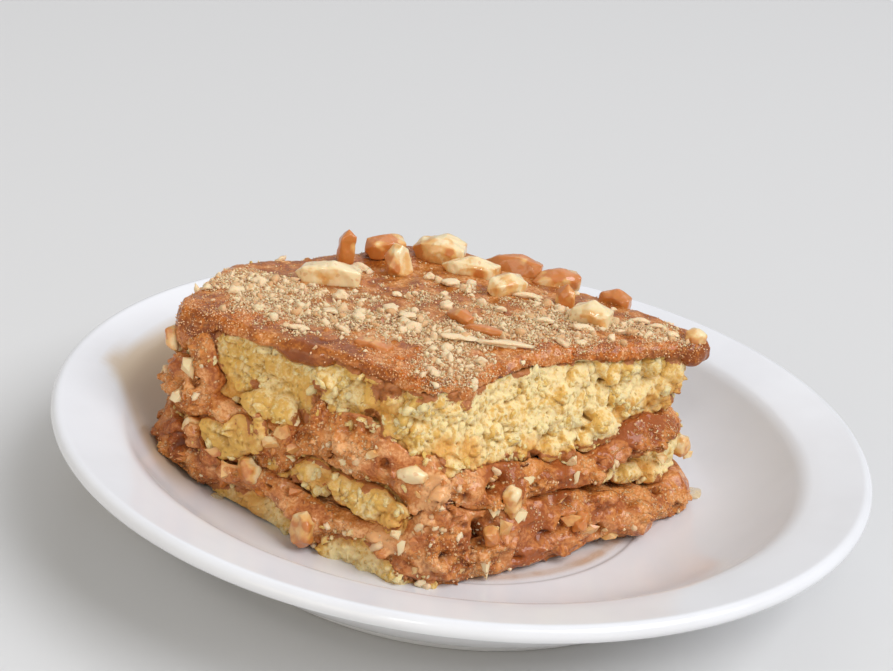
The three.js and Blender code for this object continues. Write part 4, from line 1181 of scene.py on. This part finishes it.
SUGAR_FINISH = sugar_finish()


def on_grainy_edges(centres, normals):
    """Weight of the topping's grainy places, and a little of the rest."""
    return (0.03 + np.minimum(heaped(centres, GRAINY), 1)) * np.clip(normals[:, 2] + 0.7, 0, 1)


SUGAR = (0.2 * MM, 0.5 * MM)
strew_over("sugar_top", topping, 5500, SUGAR, GRAINS, 41, on_grainy_edges, SUGAR_FINISH, "topping")
for number, filling in enumerate(fillings):
    strew_over(f"sugar_side_{number + 1}", filling, 2600, SUGAR, GRAINS, 42 + number,
               in_clumps(7.5 * MM, 24 + number, -0.15, 0.3), SUGAR_FINISH, "custard")


# Syrup
# Rum syrup that has run out of the slice: a thin film on the plate's floor in front of the right-hand
# face, a small puddle at its end and a bead at the left.

SYRUP = (0.66, 0.36, 0.14, 1)
SYRUP_PALE = (0.84, 0.62, 0.26, 1)
FILM_STEPS = (60, 24)
# How high over the table the film's edge lies, just on the plate's floor, and how thick the film is.
FILM_HEIGHT = 6.32
FILM_THICKNESS = 0.14
# The film runs round the plate's middle from one angle to another, in degrees, and out to the step.
FILM_ANGLES = (-98, -12)
FILM_RADII = (24, 44.6)
# Place and half widths in millimetres.
PUDDLES = [((58.4, 4.2, 9.2), (3.6, 2.8, 0.6)), ((-53.4, -26.2, 9.4), (1.4, 0.9, 0.7))]


def syrup_finish(name, colour, solidity):
    """Clear brown syrup that shows the plate through it, thinner towards its ragged edges."""
    material, tree, shader = new_finish(name, Coat_Weight=0.6, Coat_Roughness=0.04, IOR=1.4)
    parts = grain(tree, 9 * MM, 1.2 * MM, 2 * MM, 0.1)
    shader.inputs["Base Color"].default_value = colour
    tree.links.new(ramped(tree, parts["Grain"], 0.3, 0.7, 0.08, 0.16), shader.inputs["Roughness"])
    patches = ramped(tree, parts["Patch"], 0.0, 1.0, 0.55, 1.0)
    depth = calculated(tree, "MULTIPLY", stored(tree, "depth"), patches)
    tree.links.new(calculated(tree, "MULTIPLY", depth, solidity), shader.inputs["Alpha"])
    return material


def film():
    """The thin film, from a grid bent round the plate's middle and thinned to its edges."""
    bpy.ops.object.select_all(action="DESELECT")
    bpy.ops.mesh.primitive_grid_add(x_subdivisions=FILM_STEPS[0], y_subdivisions=FILM_STEPS[1], size=1)
    piece = bpy.context.object
    piece.name = "syrup_film"
    flat = read(piece.data.vertices, "co") + 0.5
    angles = np.radians(FILM_ANGLES[0] + (FILM_ANGLES[1] - FILM_ANGLES[0]) * flat[:, 0])
    rim = FILM_RADII[1] - 2.2 * eased(clouds(flat * (1, 0, 0), 0.12, 81, 2), -0.2, 0.9)
    radii = FILM_RADII[0] + (rim - FILM_RADII[0]) * flat[:, 1]
    depth = np.minimum(eased(flat[:, 1], 1.0, 0.86), eased(np.abs(flat[:, 0] - 0.5), 0.5, 0.3))
    heights = FILM_HEIGHT + FILM_THICKNESS * depth
    places = np.stack([radii * np.cos(angles), radii * np.sin(angles), heights], 1)
    piece.data.vertices.foreach_set("co", (places * MM).astype(np.float32).ravel())
    marked(piece, "depth", depth * (0.3 + 1.2 * np.exp(-((flat[:, 1] - 0.93) / 0.07) ** 2)))
    piece.data.update()
    finished(piece, "SOLIDIFY", thickness=0.05 * MM, offset=-1)
    return piece


kept(film(), syrup_finish("rum_syrup_film", SYRUP, 0.30), "custard")
for number, (place, halves) in enumerate(PUDDLES):
    puddle = blob(f"syrup_puddle_{number + 1}", place, halves, 0.3 * number)
    points = read(puddle.data.vertices, "co")
    shifted(puddle, 0.35 * clouds(points, 2 * MM, 83 + number) * MM)
    marked(puddle, "depth", np.ones(len(points)))
    kept(puddle, syrup_finish(f"rum_syrup_{number + 1}", SYRUP_PALE, 0.5), "custard")


# Floor, lights and camera
# A plain pale surface under soft studio light from above on the right, with a warm glow from low in front,
# a small light that makes the wet parts glint, and a faint cool one from behind. The camera looks down at
# the slice's front corner and is rolled a little.

FLOOR_SIZE = 8.0
FLOOR_COLOUR = (0.66, 0.66, 0.655, 1)
CAMERA_PLACE = Vector((-6.4, -322.1, 178.1)) * MM
CAMERA_PITCH = math.radians(90 - 22.55)
CAMERA_ROLL = math.radians(6.9)
PHOTO_WIDTH = 893
FOCAL_PIXELS = 1500
SENSOR_WIDTH = 36
SLICE_TOP = Vector((0, 0, 0.04))
# Each light's way from the slice, distance and size in metres, power and colour.
LIGHTS = {
    "key_light": ((20.9, -9.5, 27.0), 4.5, 3.0, 154, (0.98, 1.0, 1.06)),
    "front_glow": ((-0.55, -1, 0.2), 1.6, 1.2, 7.2, (1.0, 0.89, 0.72)),
    "glint": ((-0.15, -0.95, 0.75), 1.5, 0.16, 1.7, (1.0, 0.98, 0.95)),
    "back_sky": ((0.1, 0.8, 1.0), 3.5, 2.6, 16, (0.92, 0.97, 1.1)),
}
WORLD_COLOUR = (1.0, 0.98, 0.945, 1)
WORLD_STRENGTH = 0.46

bpy.ops.object.select_all(action="DESELECT")
bpy.ops.mesh.primitive_plane_add(size=FLOOR_SIZE, location=(0, 0, 0))
floor = bpy.context.object
floor.name = "floor"
floor_material, _, floor_shader = new_finish("pale_floor", Roughness=0.6)
floor_shader.inputs["Base Color"].default_value = FLOOR_COLOUR
floor.data.materials.append(floor_material)


def softbox(name, way, distance, size, power, colour):
    """A square soft light that looks at the slice from a direction."""
    way = Vector(way).normalized()
    bpy.ops.object.light_add(type="AREA", location=SLICE_TOP + way * distance)
    lamp = bpy.context.object
    lamp.name = name
    lamp.rotation_mode = "QUATERNION"
    lamp.rotation_quaternion = way.to_track_quat("Z", "Y")
    lamp.data.size = size
    lamp.data.energy = power
    lamp.data.color = colour


for name, (way, distance, size, power, colour) in LIGHTS.items():
    softbox(name, way, distance, size, power, colour)

world = bpy.data.worlds.new("studio")
bpy.context.scene.world = world
world.use_nodes = True
backdrop = world.node_tree.nodes["Background"]
backdrop.inputs["Color"].default_value = WORLD_COLOUR
backdrop.inputs["Strength"].default_value = WORLD_STRENGTH

camera_data = bpy.data.cameras.new("camera")
camera_data.sensor_width = SENSOR_WIDTH
camera_data.lens = SENSOR_WIDTH * FOCAL_PIXELS / PHOTO_WIDTH
camera = bpy.data.objects.new("camera", camera_data)
bpy.context.scene.collection.objects.link(camera)
camera.matrix_world = (Matrix.Translation(CAMERA_PLACE) @ Matrix.Rotation(CAMERA_PITCH, 4, "X")
                       @ Matrix.Rotation(CAMERA_ROLL, 4, "Z"))
bpy.context.scene.camera = camera
bpy.context.scene.view_settings.view_transform = "Standard"
